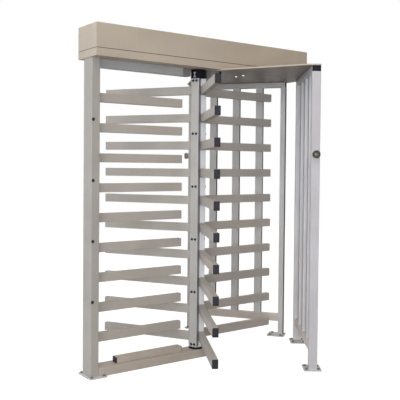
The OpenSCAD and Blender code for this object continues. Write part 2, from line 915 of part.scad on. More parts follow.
module drive_gear() {
  color([0.80, 0.78, 0.70])
    translate([0, 0, gear_z])
      difference() {
        union() {
          linear_extrude(height = gear_t) polygon(gear_outline(gear_teeth, gear_m, gear_play));
          translate([0, 0, -14]) cylinder(r = shaft_r + 9, h = 14, $fn = 48);
        }
        translate([0, 0, -15]) cylinder(r = shaft_r + push_gap, h = 40, $fn = 48);
        for (i = [0:5])
          rotate([0, 0, 60 * i]) translate([55, 0, -1]) cylinder(r = 14, h = gear_t + 2);
      }
}

module shaft_nut() {
  color(steel)
    translate([0, 0, nut_z])
      difference() {
        cylinder(r = 26, h = nut_h, $fn = 6);
        translate([0, 0, -1]) cylinder(r = shaft_r + push_gap, h = nut_h + 2, $fn = 48);
      }
}

// Lock pawl at rest (let go); the wheel turning anticlockwise would run against its nose
module pawl_shape() {
  nose_w = notch_w - 1.5;
  nose_r = wheel_r - notch_d + 1.5;
  nose_relief = 3;
  translate([pawl_x, pawl_y, wheel_z])
    rotate([0, 0, pawl_deg])
      difference() {
        linear_extrude(height = wheel_t) {
          circle(r = pawl_hub_r);
          translate([0, -5]) square([-pawl_x + nose_w / 2, 13]);
          translate([-pawl_x, 0])
            polygon([[-nose_w / 2, 0], [-nose_w / 2, nose_r - pawl_y],
                     [nose_w / 2 - nose_relief, nose_r - pawl_y], [nose_w / 2, 0]]);
          rotate([0, 0, -release_deg]) translate([-pawl_arm - 8, -7]) square([pawl_arm + 8, 14]);
        }
        translate([0, 0, -1]) cylinder(r = pawl_pin_r + run_gap, h = wheel_t + 2);
        rotate([0, 0, -release_deg])
          for (x = [-1.5, 0, 1.5])
            translate([-pawl_arm + x, 0, -1]) cylinder(r = tail_pin_r + fit, h = wheel_t + 2);
      }
}

module lock_pawl_in() { color([0.35, 0.36, 0.40]) pawl_shape(); }
module lock_pawl_out() { color([0.35, 0.36, 0.40]) mirror([0, 1, 0]) pawl_shape(); }

module pawl_pivots() {
  color(steel)
    for (s = [-1, 1])
      translate([pawl_x, s * pawl_y, beam_top]) {
        cylinder(r = pawl_hub_r - 1, h = wheel_z - beam_top - 0.5);
        cylinder(r = pawl_pin_r, h = wheel_z - beam_top + wheel_t + 3);
      }
}

solenoid_y0 = 18;
solenoid_y1 = 62;

module lock_solenoids() {
  color([0.30, 0.32, 0.30]) {
    // bracket that bridges the two beams
    translate([solenoid_x - 22, -beam_y - 12, beam_top]) cube([38, 2 * beam_y + 24, bracket_t]);
    for (s = [-1, 1])
      difference() {
        translate([solenoid_x - 15, s > 0 ? solenoid_y0 : -solenoid_y1, beam_top + bracket_t])
          cube([30, solenoid_y1 - solenoid_y0, 18]);
        translate([solenoid_x, 0, rod_z]) rotate([-90 * s, 0, 0])
          translate([0, 0, solenoid_y0 + 8]) cylinder(r = rod_r + run_gap, h = 60);
      }
  }
}

// Plunger with the pin that works in the pawl's tail, at rest
module plunger_shape() {
  translate([solenoid_x, solenoid_y0 + 12, rod_z]) rotate([-90, 0, 0])
    cylinder(r = rod_r, h = tail_rest_y - solenoid_y0 - 12 + 5);
  translate([solenoid_x, tail_rest_y, rod_z]) cylinder(r = tail_pin_r, h = wheel_z + wheel_t - rod_z + 2);
}

module plunger_in() { color(steel) plunger_shape(); }
module plunger_out() { color(steel) mirror([0, 1, 0]) plunger_shape(); }

motor_top = gear_z - 8;

module drive_motor() {
  color([0.20, 0.21, 0.23])
    translate([motor_x, 0, plate_top])
      difference() {
        union() {
          cylinder(r = motor_r, h = motor_top - plate_top, $fn = 48);
          linear_extrude(height = motor_flange_t) soft_rect(2 * motor_r + 6, 2 * motor_r + 6, 6);
          translate([0, 0, 50]) cylinder(r = motor_r - 3, h = motor_top - plate_top - 46, $fn = 48);
        }
        translate([0, 0, 60]) cylinder(r = motor_shaft_r + run_gap, h = 100);
        motor_bolt_ring() translate([0, 0, -1]) cylinder(r = 2.5 + push_gap, h = motor_flange_t + 2);
      }
}

module motor_pinion() {
  color([0.75, 0.72, 0.62])
    translate([motor_x, 0, 0])
      {
        translate([0, 0, gear_z - 1])
          rotate([0, 0, 180 / pinion_teeth])
            linear_extrude(height = gear_t + 2) polygon(gear_outline(pinion_teeth, gear_m, gear_play));
        translate([0, 0, plate_top + 62]) cylinder(r = motor_shaft_r, h = gear_z + gear_t + 4 - plate_top - 62);
      }
}

sensor_x = 45;
sensor_y = 95;

// Proximity sensor that looks at the lock wheel's edge, on its angle bracket
module position_sensor() {
  color([0.72, 0.42, 0.16]) translate([sensor_x, -sensor_y, beam_top]) {
    translate([-12, -9, 0]) cube([24, 18, 3]);
    translate([-12, -3, 0]) cube([24, 6, 15]);
    translate([0, -12, wheel_z + wheel_t / 2 - beam_top + 2])
      rotate([-90, 0, 0]) cylinder(r = 6, h = 28);
    translate([-12, -3, 8]) cube([24, 6, 22]);
  }
}

box_l = 200;
box_w = 120;
box_h = 60;

module control_box() {
  color([0.62, 0.64, 0.62]) translate([-box_x0, -box_w / 2, beam_z0]) {
    cube([box_l, box_w, box_h]);
    translate([4, 4, box_h]) cube([box_l - 8, box_w - 8, 4]);
    for (i = [0:4]) translate([box_l, 20 + 20 * i, 20]) rotate([0, 90, 0]) cylinder(r = 6, h = 14);
  }
}

module power_supply() {
  color([0.70, 0.72, 0.74]) translate([supply_x0, -50, beam_z0])
    difference() {
      cube([160, 100, 42]);
      for (i = [0:9]) translate([20 + 13 * i, 15, 38]) cube([5, 70, 6]);
    }
}

base_sill();
sill_end_cap();
foot_plates();
left_post();
frame_screws();
comb_arms();
comb_floor_bar();
comb_end_plugs();
head_rail();
rail_end_blocks();
head_tray();
head_hood();
head_beams();
drive_plate();
drive_bolts();
roof_plate();
spot_lamp_rims();
spot_lamp_lenses();
outer_post(-1);  // front_outer_post
inner_post(-1);  // front_inner_post
guide_bars(-1);  // front_guide_bars
top_rail(-1);  // front_top_rail
low_rail(-1);  // front_low_rail
outer_post(1);  // rear_outer_post
inner_post(1);  // rear_inner_post
guide_bars(1);  // rear_guide_bars
top_rail(1);  // rear_top_rail
low_rail(1);  // rear_low_rail
guide_end_plugs();
signal_bodies();
signal_lenses();
column_uprights();
wing_arms_at(0);  // wing_1_arms
wing_arms_at(1);  // wing_2_arms
wing_arms_at(2);  // wing_3_arms
wing_end_plugs();
column_core();
column_screws();
clamp_collar();
foot_disc();
pivot_bush();
pivot_pin();
drive_shaft();
bearing_inner();
bearing_outer();
bearing_housing();
lock_wheel();
drive_gear();
shaft_nut();
lock_pawl_in();
lock_pawl_out();
pawl_pivots();
lock_solenoids();
plunger_in();
plunger_out();
drive_motor();
motor_pinion();
position_sensor();
control_box();
power_supply();
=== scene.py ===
"""Dressed scene of a full height turnstile: finishes, small pieces, studio and camera.

The rotor, the comb barrier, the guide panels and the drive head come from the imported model. This file
gives each of them its finish, adds the moulded and welded detail, and sets up a plain studio round them.
"""

import logging
import math
from contextlib import contextmanager
from dataclasses import dataclass
from enum import Enum
from typing import ClassVar, Iterable, Iterator, Sequence

import bmesh
import bpy
from mathutils import Matrix, Vector


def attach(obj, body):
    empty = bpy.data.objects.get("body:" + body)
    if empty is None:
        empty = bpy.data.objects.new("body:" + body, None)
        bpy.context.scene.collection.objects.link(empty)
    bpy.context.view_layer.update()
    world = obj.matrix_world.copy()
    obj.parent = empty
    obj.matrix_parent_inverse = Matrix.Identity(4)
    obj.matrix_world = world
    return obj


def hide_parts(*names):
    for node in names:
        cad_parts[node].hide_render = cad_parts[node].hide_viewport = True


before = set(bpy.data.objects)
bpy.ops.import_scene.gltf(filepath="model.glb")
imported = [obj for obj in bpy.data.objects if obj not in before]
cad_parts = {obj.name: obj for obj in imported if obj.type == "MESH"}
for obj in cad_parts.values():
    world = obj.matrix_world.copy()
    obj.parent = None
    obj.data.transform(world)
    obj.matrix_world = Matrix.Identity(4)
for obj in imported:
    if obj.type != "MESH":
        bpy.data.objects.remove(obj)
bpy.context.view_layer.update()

log = logging.getLogger("turnstile")

Colour = tuple[float, float, float]
Point = tuple[float, float, float]
Material = bpy.types.Material
Mesh = bpy.types.Mesh
Node = bpy.types.Node
Piece = bpy.types.Object
Socket = bpy.types.NodeSocket
Tree = bpy.types.NodeTree

UP: Point = (0.0, 0.0, 1.0)
DOWN: Point = (0.0, 0.0, -1.0)


class Body(Enum):
    """The rigid bodies that a piece can ride on."""

    FRAME = "frame"
    ROTOR = "rotor"


# ---- Shader graphs ----


@dataclass(frozen=True)
class Clouds:
    """Cloudy noise with lumps of about size metres, cut off below low and above high."""

    size: float
    detail: float = 3.0
    rough: float = 0.5
    low: float = 0.3
    high: float = 0.7


class Graph:
    """The node tree of a material or of the world, with short ways to add and join nodes."""

    def __init__(self, owner: Material | bpy.types.World, output: str = "OutputMaterial") -> None:
        """Clears the owner's tree down to an output.

        Args:
            owner: The material or world.
            output: Kind of its output node.
        """
        owner.use_nodes = True
        self.owner, self.tree = owner, owner.node_tree
        self.tree.nodes.clear()
        self.surface = self.add(output).inputs["Surface"]
        self.coordinates = self.add("TexCoord")

    @property
    def place(self) -> Socket:
        """Object coordinates, in metres in the part's own frame."""
        return self.coordinates.outputs["Object"]

    @property
    def height(self) -> Socket:
        """Height over the floor, in metres."""
        return self.add("SeparateXYZ", {0: self.place}).outputs["Z"]

    @property
    def seen(self) -> Socket:
        """Whether a ray shows this.

        Returns:
            1 for camera, glossy and transmission rays, and 0 for the others.
        """
        rays = self.add("LightPath").outputs
        either = self.sums("MAXIMUM", rays["Is Camera Ray"], rays["Is Glossy Ray"])
        return self.sums("MAXIMUM", either, rays["Is Transmission Ray"])

    def fill(self, entry: Socket, value: object) -> None:
        """Gives an input a socket to follow or a constant.

        Args:
            entry: The input.
            value: A socket, a number, a vector, or a colour without alpha.
        """
        if isinstance(value, Socket):
            self.tree.links.new(value, entry)
        elif entry.type == "RGBA":
            entry.default_value = (*value, 1.0)
        else:
            entry.default_value = value

    def add(self, kind: str, inputs: dict[object, object] | None = None, **settings: object) -> Node:
        """Adds a node.

        Args:
            kind: Node type without its ShaderNode prefix.
            inputs: Values or sockets for its inputs, by name or index.
            settings: Properties of the node.

        Returns:
            The new node.
        """
        node = self.tree.nodes.new("ShaderNode" + kind)
        for key, value in settings.items():
            setattr(node, key, value)
        for key, value in (inputs or {}).items():
            self.fill(node.inputs[key], value)
        return node

    def noise(self, size: float, detail: float = 3.0, rough: float = 0.5) -> Socket:
        """Cloudy noise from 0 to 1, whose lumps measure about size metres."""
        inputs = {"Vector": self.place, "Scale": 1.0 / size, "Detail": detail, "Roughness": rough}
        return self.add("TexNoise", inputs).outputs["Fac"]

    def ramp(self, value: Socket, low: float, high: float, to_low: float = 0.0,
             to_high: float = 1.0) -> Socket:
        """Maps value from low..high to to_low..to_high, clamped and smooth."""
        inputs = {"Value": value, "From Min": low, "From Max": high, "To Min": to_low, "To Max": to_high}
        return self.add("MapRange", inputs, interpolation_type="SMOOTHSTEP").outputs["Result"]

    def clouds(self, clouds: Clouds, to_low: float = 0.0, to_high: float = 1.0) -> Socket:
        """Clouds that run from to_low to to_high."""
        noise = self.noise(clouds.size, clouds.detail, clouds.rough)
        return self.ramp(noise, clouds.low, clouds.high, to_low, to_high)

    def sums(self, operation: str, a: object, b: object) -> Socket:
        """One math step on a and b, which are sockets or numbers."""
        return self.add("Math", {0: a, 1: b}, operation=operation).outputs["Value"]

    def times(self, a: object, b: object) -> Socket:
        """The product of a and b."""
        return self.sums("MULTIPLY", a, b)

    def vector(self, operation: str, a: object, b: object = (0.0, 0.0, 0.0), output: str = "Value") -> Socket:
        """One vector step on a and b, as a Value or a Vector."""
        return self.add("VectorMath", {0: a, 1: b}, operation=operation).outputs[output]

    def blend(self, share: object, a: object, b: object) -> Socket:
        """A colour between a and b by share, each a socket or a colour."""
        return self.add("Mix", {0: share, 6: a, 7: b}, data_type="RGBA").outputs[2]

    def bump(self, height: Socket, depth: float, strength: float, normal: Socket | None = None) -> Socket:
        """A bumped normal.

        Args:
            height: Height from 0 to 1.
            depth: Height of a full step, in metres.
            strength: Share of the bump that shows.
            normal: Normal to build on.

        Returns:
            The normal.
        """
        node = self.add("Bump", {"Height": height, "Distance": depth, "Strength": strength})
        if normal is not None:
            self.fill(node.inputs["Normal"], normal)
        return node.outputs["Normal"]

    def edges(self, radius: float) -> tuple[Socket, Socket]:
        """Softened edges.

        Args:
            radius: Radius of the softened edge, in metres.

        Returns:
            The softened normal, and a mask that is 1 on edges.
        """
        soft = self.add("Bevel", {"Radius": radius}, samples=4).outputs["Normal"]
        true = self.add("NewGeometry").outputs["True Normal"]
        return soft, self.ramp(self.vector("DOT_PRODUCT", soft, true), 0.995, 0.80)

    def finish(self, colour: object, rough: object, normal: Socket | None = None, metal: float = 0.0,
               sockets: dict[str, object] | None = None) -> Material:
        """Makes the Principled shader.

        Args:
            colour: Base colour, as a socket or a colour.
            rough: Roughness, as a socket or a number.
            normal: Normal, if bumped.
            metal: Metallic value.
            sockets: Constant values for other sockets.

        Returns:
            The material.
        """
        values = {"Base Color": colour, "Roughness": rough, "Metallic": metal, **(sockets or {})}
        if normal is not None:
            values["Normal"] = normal
        self.shader = self.add("BsdfPrincipled", values)
        self.fill(self.surface, self.shader.outputs["BSDF"])
        return self.owner


# ---- Finishes ----


@dataclass(frozen=True)
class Finish:
    """A finish that pieces can share. Its material is made once, and its kinds differ in these sizes."""

    name: str
    colour: Colour
    rough: float = 0.5
    cloud: ClassVar[Clouds] = Clouds(0.05)
    dark: ClassVar[float] = 0.90
    light: ClassVar[float] = 1.10
    light_tint: ClassVar[Colour] = (1.0, 1.0, 1.0)
    edge: ClassVar[float] = 0.0010
    edge_share: ClassVar[float] = 0.35
    edge_shade: ClassVar[float] = 2.2
    haze: ClassVar[Clouds] = Clouds(0.02, 4.0)
    smoother: ClassVar[float] = 0.06
    duller: ClassVar[float] = 0.08
    _made: ClassVar[dict[str, Material]] = {}

    def material(self) -> Material:
        """The finish's material, made at the first call.

        Returns:
            The material.
        """
        if self.name not in Finish._made:
            Finish._made[self.name] = self.build(Graph(bpy.data.materials.new(self.name)))
        return Finish._made[self.name]

    def shade(self, factor: float, tint: Colour = (1.0, 1.0, 1.0)) -> Colour:
        """The finish's colour times a factor and a tint."""
        return tuple(min(1.0, c * factor * t) for c, t in zip(self.colour, tint))

    def mottled(self, g: Graph, share: Socket) -> Socket:
        """The finish's colour, from dark to light by share."""
        return g.blend(share, self.shade(self.dark), self.shade(self.light, self.light_tint))

    def edged(self, g: Graph, base: Socket) -> tuple[Socket, Socket]:
        """A base colour with paler edges, and the softened normal."""
        soft, edge = g.edges(self.edge)
        return g.blend(g.times(edge, self.edge_share), base, self.shade(self.edge_shade)), soft

    def uneven(self, g: Graph) -> Socket:
        """The finish's roughness, a little less or more in clouds of haze."""
        return g.clouds(self.haze, self.rough - self.smoother, self.rough + self.duller)

    def build(self, g: Graph) -> Material:
        """Builds the shader graph."""
        raise NotImplementedError


@dataclass(frozen=True)
class PowderCoat(Finish):
    """Sprayed and baked powder paint: a fine orange peel, cloudy gloss, dust, and worn outer edges."""

    wear: float = 0.35
    grime: float = 0.10
    edge: float = 0.0012
    gloss: float = 0.10
    dark: ClassVar[float] = 0.94
    light: ClassVar[float] = 1.06
    fleck_share: ClassVar[float] = 0.10
    fleck_shade: ClassVar[float] = 0.72
    worn_shade: ClassVar[float] = 1.35
    dust_shade: ClassVar[float] = 0.62
    dust_dull: ClassVar[float] = 0.3
    peel: ClassVar[float] = 0.0022
    peel_depth: ClassVar[float] = 0.00004
    splash_top: ClassVar[float] = 0.22
    dust_tint: ClassVar[Colour] = (1.0, 0.94, 0.86)
    cloud: ClassVar[Clouds] = Clouds(0.34, 4.0)
    flecks: ClassVar[Clouds] = Clouds(0.0065, 2.0, 0.7, 0.62, 0.78)
    chips: ClassVar[Clouds] = Clouds(0.012, 5.0, 0.65, 0.45, 0.68)
    splashes: ClassVar[Clouds] = Clouds(0.05, 5.0, 0.5, 0.35, 0.75)
    haze: ClassVar[Clouds] = Clouds(0.09, 5.0, 0.6, 0.25, 0.75)

    def build(self, g: Graph) -> Material:
        """Builds the shader graph.

        Args:
            g: The material's graph.

        Returns:
            The material.
        """
        base = self.mottled(g, g.clouds(self.cloud))
        base = g.blend(g.times(g.clouds(self.flecks), self.fleck_share), base, self.shade(self.fleck_shade))
        soft, edge = g.edges(self.edge)
        worn = g.times(g.times(edge, g.clouds(self.chips)), self.wear)
        base = g.blend(worn, base, self.shade(self.worn_shade))
        low = g.ramp(g.height, self.splash_top, 0.0)
        splash = g.times(g.times(low, g.clouds(self.splashes)), self.grime)
        base = g.blend(splash, base, self.shade(self.dust_shade, self.dust_tint))
        normal = g.bump(g.noise(self.peel, 2.0, 0.45), self.peel_depth, 0.8, soft)
        rough = g.sums("ADD", self.uneven(g), g.times(splash, self.dust_dull))
        return g.finish(base, rough, normal, sockets={"Specular IOR Level": self.gloss})


@dataclass(frozen=True)
class SeamedCoat(PowderCoat):
    """Powder paint on a sheet box with an upright seam, with painted shadow in the seam: a dark band over the
    inner lip.
    """

    low: float = 2.1606
    high: float = 2.1645
    fade: ClassVar[float] = 0.0004
    seam_shadow_shade: ClassVar[float] = 0.12

    def build(self, g: Graph) -> Material:
        """Builds the shader graph.

        Args:
            g: The material's graph.

        Returns:
            The material.
        """
        material = super().build(g)
        base = g.shader.inputs["Base Color"]
        paint = base.links[0].from_socket
        height = g.height
        # Painted shadow: the band between low and high is darkened to 0.12 of the paint's colour.
        inside = g.times(g.ramp(height, self.low, self.low + self.fade),
                         g.ramp(height, self.high + self.fade, self.high))
        g.fill(base, g.blend(inside, paint, self.shade(self.seam_shadow_shade)))
        return material


@dataclass(frozen=True)
class PaintedLightCoat(PowderCoat):
    """Powder paint with painted light and shade: tints on the faces that look certain ways, lighter or darker
    for the uneven light on them.
    """

    faces: tuple[tuple[Point, Colour], ...] = ()
    drifts: ClassVar[Clouds] = Clouds(0.25, 4.0)

    def build(self, g: Graph) -> Material:
        """Builds the shader graph.

        Args:
            g: The material's graph.

        Returns:
            The material.
        """
        material = super().build(g)
        base = g.shader.inputs["Base Color"]
        paint, cloud = base.links[0].from_socket, g.clouds(self.drifts)
        # Painted light and shade: the faces whose normal looks along each way get the paint times its tint.
        for way, tint in self.faces:
            facing = g.vector("DOT_PRODUCT", g.coordinates.outputs["Normal"], way)
            coat = g.blend(cloud, self.shade(0.95, tint), self.shade(1.04, tint))
            paint = g.blend(g.ramp(facing, 0.965, 0.985), paint, coat)
        g.fill(base, paint)
        return material


@dataclass(frozen=True)
class Grained(Finish):
    """A fine-grained skin: cloudy colour, a paler edge and uneven gloss."""

    grain: float = 0.0007
    grain_detail: ClassVar[float] = 2.0
    grain_depth: ClassVar[float] = 0.00003
    grain_strength: ClassVar[float] = 0.7
    metal: ClassVar[float] = 0.0
    gloss: ClassVar[float] = 0.15

    def build(self, g: Graph) -> Material:
        """Builds the shader graph.

        Args:
            g: The material's graph.

        Returns:
            The material.
        """
        base, soft = self.edged(g, self.mottled(g, g.clouds(self.cloud)))
        grain = g.noise(self.grain, self.grain_detail, 0.6)
        normal = g.bump(grain, self.grain_depth, self.grain_strength, soft)
        return g.finish(base, self.uneven(g), normal, self.metal, {"Specular IOR Level": self.gloss})


@dataclass(frozen=True)
class Moulded(Grained):
    """Injection moulded plastic with a spark-eroded grain."""


@dataclass(frozen=True)
class Oxided(Grained):
    """Black-oxide steel: a dark, blotchy skin, with bare metal showing on the edges."""

    grain: float = 0.0009
    cloud: ClassVar[Clouds] = Clouds(0.006, 4.0, 0.6, 0.35, 0.7)
    dark: ClassVar[float] = 0.8
    light: ClassVar[float] = 1.25
    light_tint: ClassVar[Colour] = (1.04, 1.0, 0.97)
    edge: ClassVar[float] = 0.0006
    edge_share: ClassVar[float] = 0.4
    edge_shade: ClassVar[float] = 3.0
    grain_detail: ClassVar[float] = 3.0
    grain_strength: ClassVar[float] = 0.6
    haze: ClassVar[Clouds] = Clouds(0.004, 4.0)
    smoother: ClassVar[float] = 0.08
    duller: ClassVar[float] = 0.10
    metal: ClassVar[float] = 0.6
    gloss: ClassVar[float] = 0.35


@dataclass(frozen=True)
class Turned(Finish):
    """Metal turned or ground on a lathe: fine rings round an upright axis, and a bright edge."""

    axis: tuple[float, float] = (0.0, 0.0)
    pitch: float = 0.0006
    cloud: ClassVar[Clouds] = Clouds(0.02, 5.0, 0.6, 0.3, 0.72)
    dark: ClassVar[float] = 0.86
    light: ClassVar[float] = 1.08
    edge: ClassVar[float] = 0.0006
    edge_share: ClassVar[float] = 0.5
    edge_shade: ClassVar[float] = 1.35
    haze: ClassVar[Clouds] = Clouds(0.015, 4.0)
    smoother: ClassVar[float] = 0.08
    duller: ClassVar[float] = 0.10
    ring_depth: ClassVar[float] = 0.00002

    def build(self, g: Graph) -> Material:
        """Builds the shader graph.

        Args:
            g: The material's graph.

        Returns:
            The material.
        """
        arm = g.vector("SUBTRACT", g.place, (*self.axis, 0.0), "Vector")
        flat = g.vector("MULTIPLY", arm, (1.0, 1.0, 0.0), "Vector")
        along = g.sums("ADD", g.vector("LENGTH", flat), g.height)
        rings = g.sums("SINE", g.times(along, 2 * math.pi / self.pitch), 0.0)
        rings = g.sums("ADD", g.times(rings, 0.5), 0.5)
        base, soft = self.edged(g, self.mottled(g, g.clouds(self.cloud)))
        return g.finish(base, self.uneven(g), g.bump(rings, self.ring_depth, 0.5, soft), metal=1.0)


@dataclass(frozen=True)
class Galvanised(Finish):
    """Zinc coated steel with its spangle."""

    spangle: float = 0.012
    dark: ClassVar[float] = 0.78
    light: ClassVar[float] = 1.12
    stains: ClassVar[Clouds] = Clouds(0.09, 5.0, 0.5, 0.55, 0.8)
    stain_shade: ClassVar[float] = 0.66
    stain_tint: ClassVar[Colour] = (1.0, 0.98, 0.94)
    smoother: ClassVar[float] = 0.10
    duller: ClassVar[float] = 0.12
    skin: ClassVar[float] = 0.004
    skin_depth: ClassVar[float] = 0.00008

    def build(self, g: Graph) -> Material:
        """Builds the shader graph.

        Args:
            g: The material's graph.

        Returns:
            The material.
        """
        cells = g.add("TexVoronoi", {"Vector": g.place, "Scale": 1.0 / self.spangle})
        grey = g.add("SeparateXYZ", {0: cells.outputs["Color"]}).outputs["X"]
        stain = self.shade(self.stain_shade, self.stain_tint)
        base = g.blend(g.clouds(self.stains), self.mottled(g, grey), stain)
        rough = g.ramp(grey, 0.0, 1.0, self.rough - self.smoother, self.rough + self.duller)
        return g.finish(base, rough, g.bump(g.noise(self.skin), self.skin_depth, 0.5), metal=0.9)


@dataclass(frozen=True)
class SandCast(Finish):
    """Cast iron with a sand-cast skin."""

    grain: float = 0.0016
    grain_depth: ClassVar[float] = 0.00022
    lump: ClassVar[float] = 0.010
    dark: ClassVar[float] = 0.7
    light: ClassVar[float] = 1.3
    edge_share: ClassVar[float] = 0.4
    edge_shade: ClassVar[float] = 1.9

    def build(self, g: Graph) -> Material:
        """Builds the shader graph.

        Args:
            g: The material's graph.

        Returns:
            The material.
        """
        base, soft = self.edged(g, self.mottled(g, g.noise(self.lump, 6.0, 0.65)))
        normal = g.bump(g.noise(self.grain, 4.0, 0.7), self.grain_depth, 0.9, soft)
        return g.finish(base, self.rough, normal, metal=0.55)


@dataclass(frozen=True)
class LampGlass(Finish):
    """A frosted or tinted lamp cover with fine prisms."""

    prism: float = 0.0016
    coat: float = 0.6
    glow: float = 0.0
    glow_colour: ClassVar[Colour] = (1.0, 0.98, 0.94)
    cloud: ClassVar[Clouds] = Clouds(0.008)
    dark: ClassVar[float] = 0.92
    light: ClassVar[float] = 1.06
    prism_depth: ClassVar[float] = 0.00012

    def build(self, g: Graph) -> Material:
        """Builds the shader graph.

        Args:
            g: The material's graph.

        Returns:
            The material.
        """
        cells = g.add("TexVoronoi", {"Vector": g.place, "Scale": 1.0 / self.prism}, feature="SMOOTH_F1")
        normal = g.bump(cells.outputs["Distance"], self.prism_depth, 0.5)
        base = self.mottled(g, g.clouds(self.cloud))
        sockets: dict[str, object] = {"Coat Weight": self.coat, "Coat Roughness": 0.08}
        if self.glow:
            sockets |= {"Emission Color": self.glow_colour, "Emission Strength": self.glow}
        return g.finish(base, self.rough, normal, sockets=sockets)


# Painted light: the frame has one silver paint, FRAME_PAINT. The silver finishes after it are copies of it,
# made lighter part by part for the light that falls on those parts.
FRAME_PAINT = PowderCoat("silver_powder_coat", (0.430, 0.408, 0.389), 0.36)
# Painted light: a lighter, cooler copy of the silver paint for the front panel's outer post, top rail and
# welds.
PANEL_PAINT_AND_LIGHT = PowderCoat("silver_powder_coat_lit_for_panels", (0.573, 0.566, 0.607), 0.36)
# Painted light and shade: a lighter copy of the silver paint for the front bars and inner post, with painted
# shade on the side faces that look one way.
BAR_PAINT_AND_LIGHT = PaintedLightCoat("silver_powder_coat_lit_and_shaded_for_bars", (0.742, 0.745, 0.786), 0.36,
                      faces=(((-0.809, 0.588, 0.0), (0.56, 0.59, 0.65)),))
# Painted light: lighter copies of the silver paint for the sill, floor bar, foot plates and low rails near
# the floor.
LOW_PAINT_AND_LIGHT = PowderCoat("silver_powder_coat_lit_for_low_parts", (0.527, 0.469, 0.420), 0.38)
FOOT_PAINT_AND_LIGHT = PowderCoat("silver_powder_coat_lit_for_feet", (0.593, 0.601, 0.608), 0.40)
LOW_RAIL_PAINT_AND_LIGHT = PowderCoat("silver_powder_coat_lit_for_low_rails", (0.694, 0.621, 0.567), 0.38)
# Painted light and shade: a lighter copy of the silver paint for the rear panel, with painted shade on the
# side faces that look away from the lamps.
REAR_PAINT_AND_LIGHT = PaintedLightCoat("silver_powder_coat_lit_and_shaded_for_rear", (0.655, 0.649, 0.656), 0.40, gloss=0.0,
                       faces=(((0.588, -0.809, 0.0), (0.36, 0.37, 0.40)),))
# Painted light and shade: a lighter copy of the silver paint for the column, with painted light on the faces
# that look front-left and painted shade on the faces that look front-right.
COLUMN_PAINT_AND_LIGHT = PaintedLightCoat("silver_powder_coat_lit_and_shaded_for_column", (0.504, 0.494, 0.485), 0.36,
                         faces=(((-0.5, -0.866, 0.0), (1.569, 1.619, 1.749)),
                                ((0.5, -0.866, 0.0), (0.64, 0.66, 0.72))))
# Painted shade: the arms' paint is darker on the faces that look down.
ARM_PAINT_AND_SHADE = PaintedLightCoat("warm_grey_powder_coat_shaded_below", (0.466, 0.432, 0.405), 0.43,
                      faces=((DOWN, (0.543, 0.539, 0.523)),))
HOOD_PAINT = PowderCoat("beige_powder_coat", (0.513, 0.454, 0.385), 0.46, grime=0.0, edge=0.0025)
# The tray's seam carries painted shadow.
TRAY_PAINT = SeamedCoat("beige_tray_coat", (0.513, 0.454, 0.385), 0.46, grime=0.0, edge=0.0025)
# Painted shade: a copy of the silver paint whose tone is set for the shade under the head.
RAIL_PAINT = PowderCoat("silver_powder_coat_set_for_rail_shade", (0.420, 0.423, 0.432), 0.42, grime=0.0)
# Painted shade: the roof plate's beige paint is darker on its underside.
ROOF_PAINT_AND_SHADE = PaintedLightCoat("roof_powder_coat_shaded_below", (0.513, 0.454, 0.385), 0.48, grime=0.0,
                       faces=((DOWN, (0.418, 0.417, 0.446)),))
BLOCK_PAINT = PowderCoat("grey_block_paint", (0.228, 0.212, 0.212), 0.50, grime=0.0)
BLACK_PAINT = Moulded("black_crackle_coat", (0.0036, 0.0034, 0.0085), 0.70, grain=0.0012)
PLUG_PLASTIC = Moulded("navy_black_nylon", (0.0277, 0.0276, 0.0386), 0.50)
# Painted shade: a darker copy of the plug nylon for the top rails' plugs, which sit in shade under the roof.
RAIL_PLUG_PLASTIC_SHADED = Moulded("rail_plug_nylon_shaded", (0.0079, 0.0074, 0.0166), 0.56)
SCREW_STEEL = Oxided("black_oxide_screws", (0.035, 0.033, 0.035), 0.50)
ANCHOR_STEEL = Oxided("anchor_steel", (0.175, 0.175, 0.170), 0.52)
BRIGHT_STEEL = Turned("machined_steel", (0.46, 0.46, 0.47), 0.30)
BEARING_STEEL = Turned("ground_bearing_steel", (0.60, 0.60, 0.61), 0.16, pitch=0.0003)
BRONZE = Turned("bearing_bronze", (0.50, 0.33, 0.16), 0.30)
PINION_STEEL = Turned("pinion_steel", (0.44, 0.44, 0.45), 0.30, axis=(0.12012, 0.0))
ZINC = Galvanised("galvanised_steel", (0.48, 0.49, 0.50), 0.42)
KEY_ENAMEL = Moulded("pale_key_enamel", (0.62, 0.62, 0.70), 0.48)
GLAND_NYLON = Moulded("black_gland_nylon", (0.008, 0.008, 0.009), 0.5)
CAST = SandCast("cast_iron", (0.10, 0.10, 0.105), 0.62)
LAMP_RIM = PowderCoat("white_lamp_rim", (0.74, 0.74, 0.72), 0.35, grime=0.0, wear=0.1)
LAMP_COVER = LampGlass("frosted_lamp_cover", (0.84, 0.84, 0.80), 0.25, glow=1.2)
SIGNAL_SHELL = Moulded("beige_lamp_shell", (0.36, 0.31, 0.25), 0.40)
SIGNAL_RING = Moulded("olive_lamp_ring", (0.042, 0.042, 0.030), 0.50)
SIGNAL_FACE = LampGlass("khaki_lamp_cover", (0.040, 0.039, 0.026), 0.50, coat=0.0)
SIGNAL_ARROW = LampGlass("pale_arrow_prisms", (0.30, 0.295, 0.22), 0.42, coat=0.1)
MOTOR_ENAMEL = PowderCoat("motor_enamel", (0.055, 0.060, 0.070), 0.42, grime=0.0)
COIL_ENAMEL = PowderCoat("coil_enamel", (0.050, 0.060, 0.052), 0.50, grime=0.0)
SENSOR_ORANGE = Moulded("sensor_orange", (0.50, 0.17, 0.035), 0.36)
BOX_GREY = Moulded("box_grey", (0.34, 0.36, 0.34), 0.50)
SUPPLY_METAL = Galvanised("supply_casing", (0.52, 0.53, 0.54), 0.38, spangle=0.02)


# ---- Mesh helpers ----


def at(x: float, y: float, z: float) -> Matrix:
    """The frame at a place."""
    return Matrix.Translation((x, y, z))


